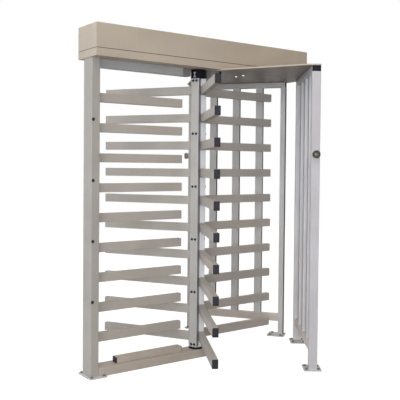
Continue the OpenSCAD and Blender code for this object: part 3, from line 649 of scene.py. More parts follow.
def spun(angle_deg: float, axis: str = "Z") -> Matrix:
    """A turn about an axis of the frame."""
    return Matrix.Rotation(math.radians(angle_deg), 4, axis)


def new_object(name: str, data: bpy.types.ID, finish: Finish | None = None) -> Piece:
    """Adds an object to the scene, at the origin.

    Args:
        name: Name of the object and of its data.
        data: A mesh in the part's frame, a lamp or a camera.
        finish: Finish of a mesh that has no material yet.

    Returns:
        The new object.
    """
    data.name = name
    item = bpy.data.objects.new(name, data)
    bpy.context.scene.collection.objects.link(item)
    if finish is not None:
        data.materials.append(finish.material())
    return item


@contextmanager
def editing(mesh: Mesh) -> Iterator[bmesh.types.BMesh]:
    """Opens a mesh for editing, and writes it back at the end.

    Args:
        mesh: The mesh.

    Yields:
        Its editable form.
    """
    work = bmesh.new()
    work.from_mesh(mesh)
    yield work
    work.to_mesh(mesh)
    work.free()


def smooth(mesh: Mesh, limit_deg: float = 35.0) -> None:
    """Shades a mesh smooth, with its sharp edges kept.

    Args:
        mesh: The mesh to shade.
        limit_deg: Edges with a larger angle stay sharp.
    """
    limit = math.radians(limit_deg)
    with editing(mesh) as work:
        for face in work.faces:
            face.smooth = True
        for edge in work.edges:
            edge.smooth = len(edge.link_faces) == 2 and edge.calc_face_angle(0.0) < limit


def weld_doubles(work: bmesh.types.BMesh) -> None:
    """Merges the points that lie on each other."""
    bmesh.ops.remove_doubles(work, verts=work.verts, dist=1e-7)


def loft(rings: Sequence[Sequence[Point]], capped: bool = True) -> Mesh:
    """Skins a row of closed rings that have the same number of points.

    Args:
        rings: The rings, in order.
        capped: Whether the two ends are closed.

    Returns:
        The mesh.
    """
    count = len(rings[0])
    faces: list[tuple[int, ...]] = []
    for start in range(0, (len(rings) - 1) * count, count):
        for i in range(count):
            a, b = start + i, start + (i + 1) % count
            faces.append((a, b, b + count, a + count))
    if capped:
        faces.append(tuple(reversed(range(count))))
        faces.append(tuple(range((len(rings) - 1) * count, len(rings) * count)))
    mesh = bpy.data.meshes.new("skin")
    mesh.from_pydata([point for ring in rings for point in ring], [], faces)
    with editing(mesh) as work:
        bmesh.ops.recalc_face_normals(work, faces=work.faces)
    return mesh


def lathe(profile: Sequence[tuple[float, float]], steps: int = 48) -> Mesh:
    """Turns a profile of (radius, height) points round +Z.

    Args:
        profile: The outline from one end to the other; a radius of 0 closes the end.
        steps: Points round the axis.

    Returns:
        The mesh.
    """
    angles = [2 * math.pi * k / steps for k in range(steps)]
    mesh = loft([[(r * math.cos(a), r * math.sin(a), z) for a in angles] for r, z in profile], capped=False)
    with editing(mesh) as work:
        weld_doubles(work)
        bmesh.ops.holes_fill(work, edges=[e for e in work.edges if e.is_boundary], sides=0)
        bmesh.ops.recalc_face_normals(work, faces=work.faces)
    smooth(mesh)
    return mesh


def joined(*parts: Mesh) -> Mesh:
    """Joins several meshes.

    Args:
        parts: The meshes.

    Returns:
        One mesh of them all.
    """
    mesh = bpy.data.meshes.new("joined")
    with editing(mesh) as work:
        for part in parts:
            work.from_mesh(part)
    return mesh


def hexagon(radius: float, low: float, high: float, bevel: float = 0.0006) -> Mesh:
    """A hexagonal nut or head with bevelled ends.

    Args:
        radius: Radius over the corners.
        low: Height of its lower face.
        high: Height of its upper face.
        bevel: Height of each bevel.

    Returns:
        The mesh.
    """
    sides = ((radius * 0.92, low), (radius, low + bevel), (radius, high - bevel), (radius * 0.92, high))
    return loft([[(r * math.cos(math.pi * i / 3), r * math.sin(math.pi * i / 3), z) for i in range(6)]
                 for r, z in sides])


def round_rect(width: float, height: float, radius: float, steps: int = 6) -> list[tuple[float, float]]:
    """Points of a rectangle with round corners, anticlockwise round its centre.

    Args:
        width: Width along the first axis.
        height: Height along the second axis.
        radius: Corner radius.
        steps: Segments in each corner.

    Returns:
        The points.
    """
    points = []
    for quarter, (sx, sy) in enumerate(((1, 1), (-1, 1), (-1, -1), (1, -1))):
        cx, cy = sx * (width / 2 - radius), sy * (height / 2 - radius)
        for k in range(steps + 1):
            angle = math.pi / 2 * (quarter + k / steps)
            points.append((cx + radius * math.cos(angle), cy + radius * math.sin(angle)))
    return points


class CopySet:
    """Repeats one small mesh at many places with a Geometry Nodes modifier, then keeps the plain mesh."""

    GROUP: ClassVar[str] = "copies_on_points"

    @classmethod
    def group(cls) -> Tree:
        """The node group, made at the first call.

        Returns:
            The group.
        """
        if cls.GROUP in bpy.data.node_groups:
            return bpy.data.node_groups[cls.GROUP]
        tree = bpy.data.node_groups.new(cls.GROUP, "GeometryNodeTree")
        for name, way, kind in (("Places", "INPUT", "Geometry"), ("Copy", "INPUT", "Object"),
                                ("Finish", "INPUT", "Material"), ("Copies", "OUTPUT", "Geometry")):
            tree.interface.new_socket(name, in_out=way, socket_type="NodeSocket" + kind)
        start, end, info, turn, to_turn, place, real, paint = (tree.nodes.new(kind) for kind in (
            "NodeGroupInput", "NodeGroupOutput", "GeometryNodeObjectInfo", "GeometryNodeInputNamedAttribute",
            "FunctionNodeEulerToRotation", "GeometryNodeInstanceOnPoints", "GeometryNodeRealizeInstances",
            "GeometryNodeSetMaterial"))
        turn.data_type = "FLOAT_VECTOR"
        turn.inputs["Name"].default_value = "turn"
        for node, output, follower, entry in (
                (start, "Copy", info, "Object"), (start, "Places", place, "Points"),
                (info, "Geometry", place, "Instance"), (turn, "Attribute", to_turn, 0),
                (to_turn, 0, place, "Rotation"), (place, "Instances", real, "Geometry"),
                (real, "Geometry", paint, "Geometry"), (start, "Finish", paint, "Material"),
                (paint, "Geometry", end, "Copies")):
            tree.links.new(node.outputs[output], follower.inputs[entry])
        return tree

    def __init__(self, name: str, copy: Mesh, finish: Finish) -> None:
        """Prepares a set of copies.

        Args:
            name: Name of the piece that the copies make.
            copy: Mesh that is repeated.
            finish: Finish of the copies.
        """
        self.name, self.copy, self.finish = name, copy, finish
        self.places: list[tuple[Point, Point]] = []

    def put(self, matrix: Matrix) -> None:
        """Adds a copy at a rigid transform."""
        self.places.append((tuple(matrix.translation), tuple(matrix.to_euler())))

    def make(self) -> Piece:
        """Runs the modifier and keeps its result as one plain mesh.

        Returns:
            The piece, at the origin.
        """
        tree = self.group()
        points = bpy.data.meshes.new(self.name + "_places")
        points.from_pydata([p for p, _ in self.places], [], [])
        turns = points.attributes.new("turn", "FLOAT_VECTOR", "POINT")
        turns.data.foreach_set("vector", [c for _, t in self.places for c in t])
        carrier = new_object(self.name + "_places", points)
        sample = new_object(self.name + "_copy", self.copy)
        modifier = carrier.modifiers.new("copies", "NODES")
        modifier.node_group = tree
        values = {"Copy": sample, "Finish": self.finish.material()}
        for item in tree.interface.items_tree:
            if item.name in values:
                modifier[item.identifier] = values[item.name]
        bpy.context.view_layer.update()
        ready = carrier.evaluated_get(bpy.context.evaluated_depsgraph_get())
        mesh = bpy.data.meshes.new_from_object(ready)
        carrier.modifiers.remove(modifier)
        for item in (carrier, sample):
            bpy.data.objects.remove(item)
        return new_object(self.name, mesh)


# ---- Sub-assemblies ----


@dataclass
class SubAssembly:
    """A group of pieces that is dressed together."""

    FINISHES: ClassVar[dict[str, Finish]] = {}

    def build(self) -> Iterable[Piece]:
        """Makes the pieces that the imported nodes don't have."""
        return ()

    def kept(self, sets: Iterable[tuple[CopySet, str, str | None]],
             body: Body = Body.FRAME) -> Iterator[Piece]:
        """Makes sets of copies into pieces of a body.

        Args:
            sets: Each set with a slot name, which is not used, and the node that it stands for, if any.
            body: The body they ride on.

        Yields:
            The pieces.
        """
        for copies, slot, node in sets:
            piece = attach(copies.make(), body.value)
            if node is not None:
                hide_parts(node)
            yield piece

    def dress(self) -> None:
        """Gives each node its finish, then builds and reports the extra pieces."""
        for node, finish in self.FINISHES.items():
            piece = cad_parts[node]
            piece.data.materials.clear()
            piece.data.materials.append(finish.material())
            log.info("%s: %s", node, finish.name)
        for piece in self.build():
            log.info("%s: built, %d faces", piece.name, len(piece.data.polygons))


@dataclass(frozen=True)
class EndPlug:
    """A moulded plug for the end of a rectangular tube: a crowned head and a ribbed skirt inside the tube."""

    width: float = 0.040
    height: float = 0.060
    wall: float = 0.002
    corner: float = 0.003
    flange: float = 0.004
    depth: float = 0.018
    fit: float = 0.0003
    skirt: float = 0.003
    rib: float = 0.0002
    ribs: int = 4
    rib_start: float = 0.003
    rib_pitch: float = 0.0036
    CROWN: ClassVar[tuple[tuple[float, float], ...]] = (
        (0.0, 0.0155), (0.00003, 0.0120), (0.00012, 0.0085), (0.00035, 0.0050), (0.0008, 0.0024),
        (0.0013, 0.0012), (0.0019, 0.0005), (0.0026, 0.0001), (0.0034, 0.0), (0.0038, 0.0001),
        (0.0040, 0.0004))

    def ring(self, x: float, inset: float, corner: float) -> list[Point]:
        """One ring of the plug's skin, at x along the tube and inset from the tube's outer size."""
        return [(x, y, z) for y, z in round_rect(self.width - 2 * inset, self.height - 2 * inset, corner)]

    def mesh(self) -> Mesh:
        """The plug, with its head's back at x = 0 and its face towards +x.

        Returns:
            The mesh.
        """
        shank, bore, soft = self.wall + self.fit, self.wall + self.fit + self.skirt, 0.0012
        ribbed = shank - self.rib
        rings = [self.ring(self.flange - drop, inset, max(self.corner - inset, 0.001))
                 for drop, inset in self.CROWN]
        rings.append(self.ring(0.0, shank, soft))
        for k in range(self.ribs):
            x = -self.rib_start - self.rib_pitch * k
            for back, inset in ((0.0, shank), (0.0004, ribbed), (0.0012, ribbed), (0.0024, shank)):
                rings.append(self.ring(x - back, inset, soft))
        rings += [self.ring(-self.depth + 0.001, shank, soft), self.ring(-self.depth, shank + 0.0008, 0.0010),
                  self.ring(-self.depth, bore, 0.0006), self.ring(-0.0002, bore, 0.0006)]
        mesh = loft(rings)
        smooth(mesh, 40.0)
        return mesh


@dataclass(frozen=True)
class WeldBead:
    """A fillet weld with the small ripples that each pass of the torch leaves."""

    leg: float = 0.0030
    ripple: float = 0.0042
    root: float = 0.0004
    steps: int = 5

    def skin(self, path: Sequence[tuple[float, float, float, float]], closed: bool) -> Mesh:
        """Sweeps the bead along a path in the plane x = 0.

        Args:
            path: Points (y, z) with the outward direction (ny, nz) at each.
            closed: Whether the path is a ring.

        Returns:
            The mesh.
        """
        rings: list[list[Point]] = []
        for k, (y, z, ny, nz) in enumerate(path):
            size = self.leg * (0.86 + 0.14 * math.cos(k * math.pi))
            if not closed:
                size *= min(1.0, 0.45 + 0.3 * min(k, len(path) - 1 - k))
            ring = [(-self.root, y - ny * self.root, z - nz * self.root)]
            for r in range(self.steps + 1):
                angle = math.pi / 2 * r / self.steps
                bulge = 1.0 - 0.16 * math.sin(2 * angle)
                out, up = size * (1 - math.sin(angle) * bulge), size * (1 - math.cos(angle) * bulge)
                ring.append((up, y + ny * out, z + nz * out))
            rings.append(ring)
        mesh = loft(rings + rings[:1] if closed else rings, capped=not closed)
        if closed:
            with editing(mesh) as work:
                weld_doubles(work)
        smooth(mesh, 75.0)
        return mesh

    def ring(self, width: float, height: float, corner: float) -> Mesh:
        """The weld all round a tube that stands on the plane x = 0.

        Args:
            width: Width of the tube, along y.
            height: Height of the tube, along z.
            corner: Its corner radius.

        Returns:
            The mesh.
        """
        path = []
        corners = round_rect(width, height, corner, 3)
        for (y0, z0), (y1, z1) in zip(corners, corners[1:] + corners[:1]):
            length = math.hypot(y1 - y0, z1 - z0)
            if length < 1e-7:
                continue
            count = max(1, round(length / (self.ripple / 2)))
            ny, nz = (z1 - z0) / length, -(y1 - y0) / length
            path += [(y0 + (y1 - y0) * i / count, z0 + (z1 - z0) * i / count, ny, nz) for i in range(count)]
        return self.skin(path, closed=True)

    def straight(self, length: float) -> Mesh:
        """A straight weld along y, in the corner between the planes x = 0 and z = 0.

        Args:
            length: Length of the weld.

        Returns:
            The mesh.
        """
        count = round(length / (self.ripple / 2))
        path = [(length * (i / count - 0.5), 0.0, 0.0, 1.0) for i in range(count + 1)]
        return self.skin(path, closed=False)


@dataclass(frozen=True)
class ScrewRing:
    """A black sealing ring round a screw's head. Its axis is +z from the face it lies on."""

    radius: float
    head: float = 0.007
    height: float = 0.0014

    def mesh(self) -> Mesh:
        """The ring as one mesh."""
        hole, r, h = self.head + 0.0001, self.radius, self.height
        return lathe(((hole, 0.0), (r - 0.0003, 0.0), (r, 0.0004), (r, h - 0.0005), (r - 0.0005, h),
                      (hole, h), (hole, 0.0)), 40)


def corner(place: Point, base: Point, face: Point) -> Matrix:
    """The frame of a weld in the corner between two faces.

    Args:
        place: Middle of the corner's line.
        base: Normal of the face that carries the tube.
        face: Normal of the tube's own face.

    Returns:
        The frame: x along base, z along face.
    """
    x, z = Vector(base), Vector(face)
    return Matrix.Translation(place) @ Matrix((x, z.cross(x), z)).transposed().to_4x4()


@dataclass
class Barrier(SubAssembly):
    """The left post with the comb of fixed arms, the sill and their floor plates."""

    arms: int = 9
    first_z: float = 0.254
    pitch: float = 0.200
    post_x: float = -0.830
    post_w: float = 0.060
    post_d: float = 0.120
    plate_z: float = 0.008
    end_x: float = -0.150
    bar_x: float = -0.680
    bar_end: float = -0.143
    bar_z: float = 0.080
    sill_x: float = 0.084
    screw_x: float = -0.878
    screw_z: tuple[float, ...] = (0.504, 0.904, 1.304, 1.704)
    post_weld: float = 0.116
    side_weld: float = 0.056
    stitch: float = 0.045
    stitch_inset: float = 0.05
    ring: ScrewRing = ScrewRing(0.0108)
    plug: EndPlug = EndPlug()
    low_plug: EndPlug = EndPlug(width=0.060, height=0.040)
    sill_plug: EndPlug = EndPlug(width=0.120, height=0.060, wall=0.003, corner=0.004)
    weld: WeldBead = WeldBead()
    FINISHES: ClassVar[dict[str, Finish]] = {
        "base_sill": LOW_PAINT_AND_LIGHT, "sill_end_cap": PLUG_PLASTIC, "foot_plates": FOOT_PAINT_AND_LIGHT,
        "left_post": FRAME_PAINT, "frame_screws": SCREW_STEEL, "comb_arms": ARM_PAINT_AND_SHADE,
        "comb_floor_bar": LOW_PAINT_AND_LIGHT, "comb_end_plugs": PLUG_PLASTIC}

    def build(self) -> Iterable[Piece]:
        """Plugs, welds and screw rings of the comb.

        Returns:
            The pieces.
        """
        plugs = CopySet("comb_plugs", self.plug.mesh(), PLUG_PLASTIC)
        tube_weld = self.weld.ring(self.plug.width, self.plug.height, self.plug.corner)
        welds = CopySet("comb_welds", tube_weld, ARM_PAINT_AND_SHADE)
        for k in range(self.arms):
            height = self.first_z + k * self.pitch
            plugs.put(at(self.end_x - self.plug.flange, 0.0, height))
            welds.put(at(self.post_x, 0.0, height))
        lows = CopySet("floor_bar_plugs", self.low_plug.mesh(), PLUG_PLASTIC)
        lows.put(at(self.bar_end - self.plug.flange, 0.0, self.bar_z))
        lows.put(at(self.bar_x + self.plug.flange, 0.0, self.bar_z) @ spun(180.0))
        seams = CopySet("post_welds", self.weld.straight(self.post_weld), FRAME_PAINT)
        seams.put(corner((self.post_x, 0.0, self.sill_plug.height), (1.0, 0.0, 0.0), UP))
        seams.put(corner((self.post_x - self.post_w, 0.0, self.plate_z), UP, (-1.0, 0.0, 0.0)))
        stitches = CopySet("floor_bar_welds", self.weld.straight(self.stitch), ARM_PAINT_AND_SHADE)
        sides = CopySet("post_side_welds", self.weld.straight(self.side_weld), FRAME_PAINT)
        rings = CopySet("post_screw_rings", self.ring.mesh(), GLAND_NYLON)
        for way in (-1.0, 1.0):
            out, face = (0.0, way, 0.0), way * self.post_d / 2
            sides.put(corner((self.post_x - self.post_w / 2, face, self.plate_z), UP, out))
            for x in (self.bar_x + self.stitch_inset, (self.bar_x + self.bar_end) / 2,
                      self.bar_end - self.stitch_inset):
                stitches.put(corner((x, way * self.low_plug.width / 2, self.sill_plug.height), UP, out))
            for height in self.screw_z:
                rings.put(at(self.screw_x, face, height) @ spun(-way * 90.0, "X"))
        cap = CopySet("sill_plug", self.sill_plug.mesh(), PLUG_PLASTIC)
        cap.put(at(self.sill_x, 0.0, self.sill_plug.height / 2))
        return self.kept((
            (plugs, "dark_plastic", "comb_end_plugs"), (lows, "dark_plastic", "comb_end_plugs"),
            (cap, "dark_plastic", "sill_end_cap"), (welds, "arm_paint", None), (stitches, "arm_paint", None),
            (seams, "frame_paint", None), (sides, "frame_paint", None), (rings, "dark_plastic", None)))


@dataclass(frozen=True)
class CollarKey:
    """The pale key in the clamp collar: a stem between two wider heads, bent round the collar."""

    radius: float = 0.054
    proud: float = 0.0012
    sunk: float = 0.0006
    azimuth_deg: float = 206.0
    low: float = 2.052
    high: float = 2.088
    stem: float = 0.0062
    head: float = 0.0165
    head_h: float = 0.0048
    steps: int = 5

    def mesh(self) -> Mesh:
        """The key as a closed shell, in place.

        Returns:
            The mesh.
        """
        half, wide, top = self.stem / 2, self.head / 2, self.head_h
        end = [(0.0, wide - 0.0015), (0.0015, wide), (top - 0.0010, wide), (top, wide - 0.0010),
               (top + 0.0010, half + 0.0010), (top + 0.0025, half)]
        levels = [(self.low + up, reach) for up, reach in end]
        levels += [(self.high - up, reach) for up, reach in end[::-1]]
        rings = []
        for z, reach in levels:
            ring = []
            for radius, way in ((self.radius + self.proud, 1), (self.radius - self.sunk, -1)):
                for k in range(self.steps + 1):
                    turn = way * reach * (2 * k / self.steps - 1) / self.radius
                    angle = math.radians(self.azimuth_deg) + turn
                    ring.append((radius * math.cos(angle), radius * math.sin(angle), z))
            rings.append(ring)
        return loft(rings)


@dataclass
class Rotor(SubAssembly):
    """The turning column with its three wings of arms."""

    wings: int = 3
    arms: int = 10
    first_z: float = 0.155
    pitch: float = 0.200
    face_x: float = 0.032
    reach: float = 0.750
    offset_y: float = 0.036
    turn_deg: float = 1.3
    plug: EndPlug = EndPlug()
    weld: WeldBead = WeldBead()
    key: CollarKey = CollarKey()
    ring: ScrewRing = ScrewRing(0.0094)
    screw_levels: int = 6
    screw_x: tuple[float, float] = (-0.0105, 0.0145)
    screw_y: float = 0.056
    screw_z: float = 0.097
    screw_step: float = 0.3858
    FINISHES: ClassVar[dict[str, Finish]] = {
        "column_uprights": COLUMN_PAINT_AND_LIGHT, "wing_1_arms": ARM_PAINT_AND_SHADE, "wing_2_arms": ARM_PAINT_AND_SHADE,
        "wing_3_arms": ARM_PAINT_AND_SHADE, "wing_end_plugs": PLUG_PLASTIC, "column_core": BRIGHT_STEEL,
        "column_screws": SCREW_STEEL, "clamp_collar": BLACK_PAINT, "foot_disc": BLACK_PAINT,
        "pivot_bush": BRONZE}

    def build(self) -> Iterable[Piece]:
        """Plugs, welds and screw rings of the wings, and the collar's key.

        Yields:
            The pieces.
        """
        plugs = CopySet("wing_plugs", self.plug.mesh(), PLUG_PLASTIC)
        welds = CopySet("wing_welds", self.weld.straight(self.plug.width - 0.002), ARM_PAINT_AND_SHADE)
        rings = CopySet("column_screw_rings", self.ring.mesh(), GLAND_NYLON)
        for wing in range(self.wings):
            spin = spun(120.0 * wing + self.turn_deg)
            for k in range(self.arms):
                height = self.first_z + k * self.pitch
                plugs.put(spin @ at(self.reach - self.plug.flange, self.offset_y, height))
                for way in (-1.0, 1.0):
                    edge = (self.face_x, self.offset_y, height + way * self.plug.height / 2)
                    welds.put(spin @ corner(edge, (1.0, 0.0, 0.0), (0.0, 0.0, way)))
            for k in range(self.screw_levels):
                for x in self.screw_x:
                    screw = at(x, self.screw_y, self.screw_z + k * self.screw_step)
                    rings.put(spin @ screw @ spun(-90.0, "X"))
        yield from self.kept(((plugs, "dark_plastic", "wing_end_plugs"), (welds, "arm_paint", None),
                              (rings, "dark_plastic", None)), Body.ROTOR)
        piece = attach(new_object("collar_key", self.key.mesh(), KEY_ENAMEL), Body.ROTOR.value)
        yield piece


@dataclass(frozen=True)
class SignalLamp:
    """A round signal lamp: shell, dark ring, smoked cover and a plain arrow. Its axis is +z from its base."""

    radius: float = 0.027
    depth: float = 0.038
    ring_t: float = 0.0046
    arrow: float = 0.0115
    arrow_w: float = 0.0034

    def shell(self) -> Mesh:
        """The moulded cup, a little flared at its front."""
        r, d = self.radius, self.depth - self.ring_t
        return lathe(((0.0, 0.0), (r - 0.0035, 0.0), (r - 0.0030, 0.0006), (r - 0.0030, 0.0030),
                      (r - 0.0042, 0.0036), (r - 0.0036, d - 0.0100), (r - 0.0012, d - 0.0060),
                      (r - 0.0005, d - 0.0040), (r - 0.0005, d), (r - 0.0050, d), (r - 0.0060, 0.0040),
                      (0.0, 0.0040)))

    def ring(self) -> Mesh:
        """The dark ring that holds the cover."""
        r, d, t = self.radius, self.depth, self.ring_t
        return lathe(((r - 0.0085, d - t), (r - 0.0002, d - t), (r, d - t + 0.0004), (r, d - 0.0018),
                      (r - 0.0005, d - 0.0007), (r - 0.0016, d), (r - 0.0040, d), (r - 0.0058, d - 0.0006),
                      (r - 0.0070, d - 0.0020), (r - 0.0075, d - 0.0030), (r - 0.0085, d - t)))

    def cover(self) -> Mesh:
        """The smoked cover, slightly domed."""
        r, d, t = self.radius - 0.0075, self.depth, self.ring_t
        return lathe(((0.0, d - t - 0.001), (r, d - t - 0.001), (r, d - 0.0030), (r * 0.8, d - 0.0024),
                      (r * 0.5, d - 0.0019), (r * 0.25, d - 0.0017), (0.0, d - 0.0016)))

    def sign(self) -> Mesh:
        """The arrow, as three raised bars of prisms on the cover.

        Returns:
            The mesh.
        """
        mesh = bpy.data.meshes.new("arrow")
        a, w, base, top = self.arrow, self.arrow_w, self.depth - 0.0030, self.depth - 0.0012
        tip = (-a, 0.0)
        with editing(mesh) as work:
            for (x0, y0), (x1, y1) in (((a, 0.0), tip), (tip, (-0.1 * a, 0.85 * a)),
                                       (tip, (-0.1 * a, -0.85 * a))):
                length = math.hypot(x1 - x0, y1 - y0)
                nx, ny = -(y1 - y0) / length * w / 2, (x1 - x0) / length * w / 2
                rim = [(x0 + nx, y0 + ny), (x0 - nx, y0 - ny), (x1 - nx, y1 - ny), (x1 + nx, y1 + ny)]
                low = [work.verts.new((x, y, base)) for x, y in rim]
                high = [work.verts.new((x * 0.97, y * 0.97, top)) for x, y in rim]
                work.faces.new(low)
                work.faces.new(reversed(high))
                for k in range(4):
                    work.faces.new((low[k], high[k], high[(k + 1) % 4], low[(k + 1) % 4]))
            bmesh.ops.recalc_face_normals(work, faces=work.faces)
        return mesh


@dataclass
class GuidePanels(SubAssembly):
    """The two slanted panels of upright bars, with their signal lamps."""

    turn_deg: float = 53.8
    distance: float = 0.813
    start: float = -0.344
    end: float = 0.496
    rail_z: float = 2.080
    lamp_z: float = 1.492
    post: float = 0.040
    post_n: float = 0.060
    low_z: tuple[float, float] = (0.120, 0.180)
    top_z: float = 2.060
    plate_z: float = 0.008
    bars: tuple[float, ...] = (-0.124, 0.076, 0.276)
    short_weld: float = 0.038
    long_weld: float = 0.056
    lamp: SignalLamp = SignalLamp()
    plug: EndPlug = EndPlug(width=0.060, height=0.040)
    weld: WeldBead = WeldBead()
    FINISHES: ClassVar[dict[str, Finish]] = {
        "guide_end_plugs": RAIL_PLUG_PLASTIC_SHADED, "signal_bodies": SIGNAL_SHELL, "signal_lenses": SIGNAL_FACE,
        "front_outer_post": PANEL_PAINT_AND_LIGHT, "front_inner_post": BAR_PAINT_AND_LIGHT, "front_guide_bars": BAR_PAINT_AND_LIGHT,
        "front_top_rail": PANEL_PAINT_AND_LIGHT, "front_low_rail": LOW_RAIL_PAINT_AND_LIGHT, "rear_low_rail": LOW_RAIL_PAINT_AND_LIGHT,
        **{f"rear_{part}": REAR_PAINT_AND_LIGHT for part in ("outer_post", "inner_post", "guide_bars", "top_rail")}}

    def places(self) -> Iterable[Matrix]:
        """The frames of the front and the rear panel: x along the panel, y out of it."""
        for way in (1.0, -1.0):
            yield spun(self.turn_deg * way) @ at(0.0, -self.distance * way, 0.0)

    def welds(self) -> tuple[CopySet, CopySet]:
        """The short and the long welds of both panels.

        Returns:
            The two sets.
        """
        short = CopySet("guide_short_welds", self.weld.straight(self.short_weld), PANEL_PAINT_AND_LIGHT)
        long = CopySet("guide_long_welds", self.weld.straight(self.long_weld), PANEL_PAINT_AND_LIGHT)
        for panel in self.places():
            for way in (-1.0, 1.0):
                out = (way, 0.0, 0.0)
                for mid in self.bars:
                    x = mid + way * self.post_n / 2
                    short.put(panel @ corner((x, 0.0, self.low_z[1]), UP, out))
                    short.put(panel @ corner((x, 0.0, self.top_z), DOWN, out))
                for post in (self.start + self.post / 2, self.end - self.post / 2):
                    long.put(panel @ corner((post + way * self.post / 2, 0.0, self.plate_z), UP, out))
                    side = (post, way * self.post_n / 2, self.plate_z)
                    short.put(panel @ corner(side, UP, (0.0, way, 0.0)))
            for x, way in ((self.start + self.post, 1.0), (self.end - self.post, -1.0)):
                out = (way, 0.0, 0.0)
                for z, normal in zip(self.low_z, (DOWN, UP)):
                    short.put(panel @ corner((x, 0.0, z), out, normal))
                long.put(panel @ corner((x, 0.0, self.top_z), DOWN, out))
        return short, long

    def build(self) -> Iterable[Piece]:
        """Plugs of the top rails, the signal lamps and the welds.

        Returns:
            The pieces.
        """
        plugs = CopySet("guide_plugs", self.plug.mesh(), RAIL_PLUG_PLASTIC_SHADED)
        lamps = ((CopySet("signal_shells", self.lamp.shell(), SIGNAL_SHELL), "signal_shell", "signal_bodies"),
                 (CopySet("signal_rings", self.lamp.ring(), SIGNAL_RING), "signal_shell", "signal_bodies"),
                 (CopySet("signal_covers", self.lamp.cover(), SIGNAL_FACE), "signal_face", "signal_lenses"),
                 (CopySet("signal_arrows", self.lamp.sign(), SIGNAL_ARROW), "signal_face", "signal_lenses"))
        for panel, way in zip(self.places(), (-1.0, 1.0)):
            plugs.put(panel @ at(self.end - self.plug.flange, 0.0, self.rail_z))
            plugs.put(panel @ at(self.start + self.plug.flange, 0.0, self.rail_z) @ spun(180.0))
            face = panel @ at(self.start, 0.0, self.lamp_z) @ spun(-90.0, "Y") @ spun(way * 90.0)
            for copies, _, _ in lamps:
                copies.put(face)
        return self.kept(((plugs, "dark_plastic", "guide_end_plugs"), *lamps,
                          *((copies, "frame_paint", None) for copies in self.welds())))


@dataclass(frozen=True)
class SpotLamp:
    """A small spot lamp: a rounded rim and a domed cover. Its axis is +z from the plate it is set in."""

    radius: float = 0.011
    lens: float = 0.0069
    drop: float = 0.006

    def rim(self) -> Mesh:
        """The rim with its sleeve."""
        r, bore = self.radius, self.lens + 0.0002
        return lathe(((bore, -0.005), (r - 0.0024, -0.005), (r - 0.0024, 0.0), (r, 0.0), (r, 0.0006),
                      (r - 0.0006, 0.0014), (r - 0.0016, 0.0019), (r - 0.0028, 0.0018), (bore, 0.0008),
                      (bore, -0.005)))

    def cover(self) -> Mesh:
        """The domed cover."""
        r, d = self.lens, self.drop
        return lathe(((0.0, -0.004), (r, -0.004), (r, d * 0.45), (r * 0.95, d * 0.66), (r * 0.80, d * 0.84),
                      (r * 0.55, d * 0.95), (r * 0.28, d * 0.99), (0.0, d)))


@dataclass(frozen=True)
class CableGland:
    """A nylon gland for the lamps' cable. Its axis is +z from the plate it is set in."""

    radius: float = 0.010
    sleeve: float = 0.0056

    def mesh(self) -> Mesh:
        """Hexagon, dome nut and the sleeve in the hole.

        Returns:
            One mesh of the three.
        """
        r, s = self.radius, self.sleeve
        dome = ((0.0, 0.0050), (r * 0.80, 0.0050), (r * 0.80, 0.0085), (r * 0.84, 0.0090), (r * 0.84, 0.0118),
                (r * 0.74, 0.0142), (r * 0.52, 0.0160), (r * 0.36, 0.0164), (r * 0.30, 0.0150), (0.0, 0.0150))
        sleeve = ((0.0, -0.006), (s, -0.006), (s, 0.0002), (0.0, 0.0002))
        return joined(hexagon(r, 0.0, 0.0052), lathe(dome, 24), lathe(sleeve, 24))


@dataclass(frozen=True)
class RoofStop:
    """A round rubber stop with a ribbed foot. Its axis is +z from the plate it stands on."""

    radius: float = 0.0095
    height: float = 0.017

    def mesh(self) -> Mesh:
        """The stop as one mesh."""
        r, h = self.radius, self.height
        return lathe(((0.0, 0.0), (r, 0.0), (r, 0.0022), (r * 0.90, 0.0030), (r * 0.90, 0.0042),
                      (r * 0.96, 0.0050), (r * 0.96, h - 0.0050), (r * 0.90, h - 0.0024),
                      (r * 0.74, h - 0.0008), (r * 0.45, h), (0.0, h)), 32)


@dataclass
class Head(SubAssembly):
    """The head with its rail, tray, hood, beams and roof plate."""

    roof_z: float = 2.100
    spot_x: float = 0.390
    spot_gap: float = 0.087
    gland_x: float = 0.194
    stop_place: tuple[float, float] = (0.154, -0.063)
    spot: SpotLamp = SpotLamp()
    gland: CableGland = CableGland()
    stop: RoofStop = RoofStop()
    FINISHES: ClassVar[dict[str, Finish]] = {
        "head_rail": RAIL_PAINT, "rail_end_blocks": BLOCK_PAINT, "head_tray": TRAY_PAINT,
        "head_hood": HOOD_PAINT, "head_beams": ZINC, "drive_plate": ZINC, "roof_plate": ROOF_PAINT_AND_SHADE,
        "spot_lamp_rims": LAMP_RIM, "spot_lamp_lenses": LAMP_COVER}

    def build(self) -> Iterable[Piece]:
        """Spot lamps, the gland and the stop under the roof.

        Returns:
            The pieces.
        """
        rims = CopySet("spot_rims", self.spot.rim(), LAMP_RIM)
        covers = CopySet("spot_covers", self.spot.cover(), LAMP_COVER)
        gland = CopySet("cable_gland", self.gland.mesh(), GLAND_NYLON)
        stop = CopySet("roof_stop", self.stop.mesh(), GLAND_NYLON)
        half = self.spot_gap / 2
        spots = ((self.spot_x, -half), (self.spot_x, half))
        for copies, places in ((rims, spots), (covers, spots), (gland, ((self.gland_x, 0.0),)),
                               (stop, (self.stop_place,))):
            for place in places:
                copies.put(at(*place, self.roof_z) @ spun(180.0, "X"))
        return self.kept(((rims, "lamp_rim", "spot_lamp_rims"), (covers, "lamp_lens", "spot_lamp_lenses"),
                          (gland, "dark_plastic", None), (stop, "dark_plastic", None)))


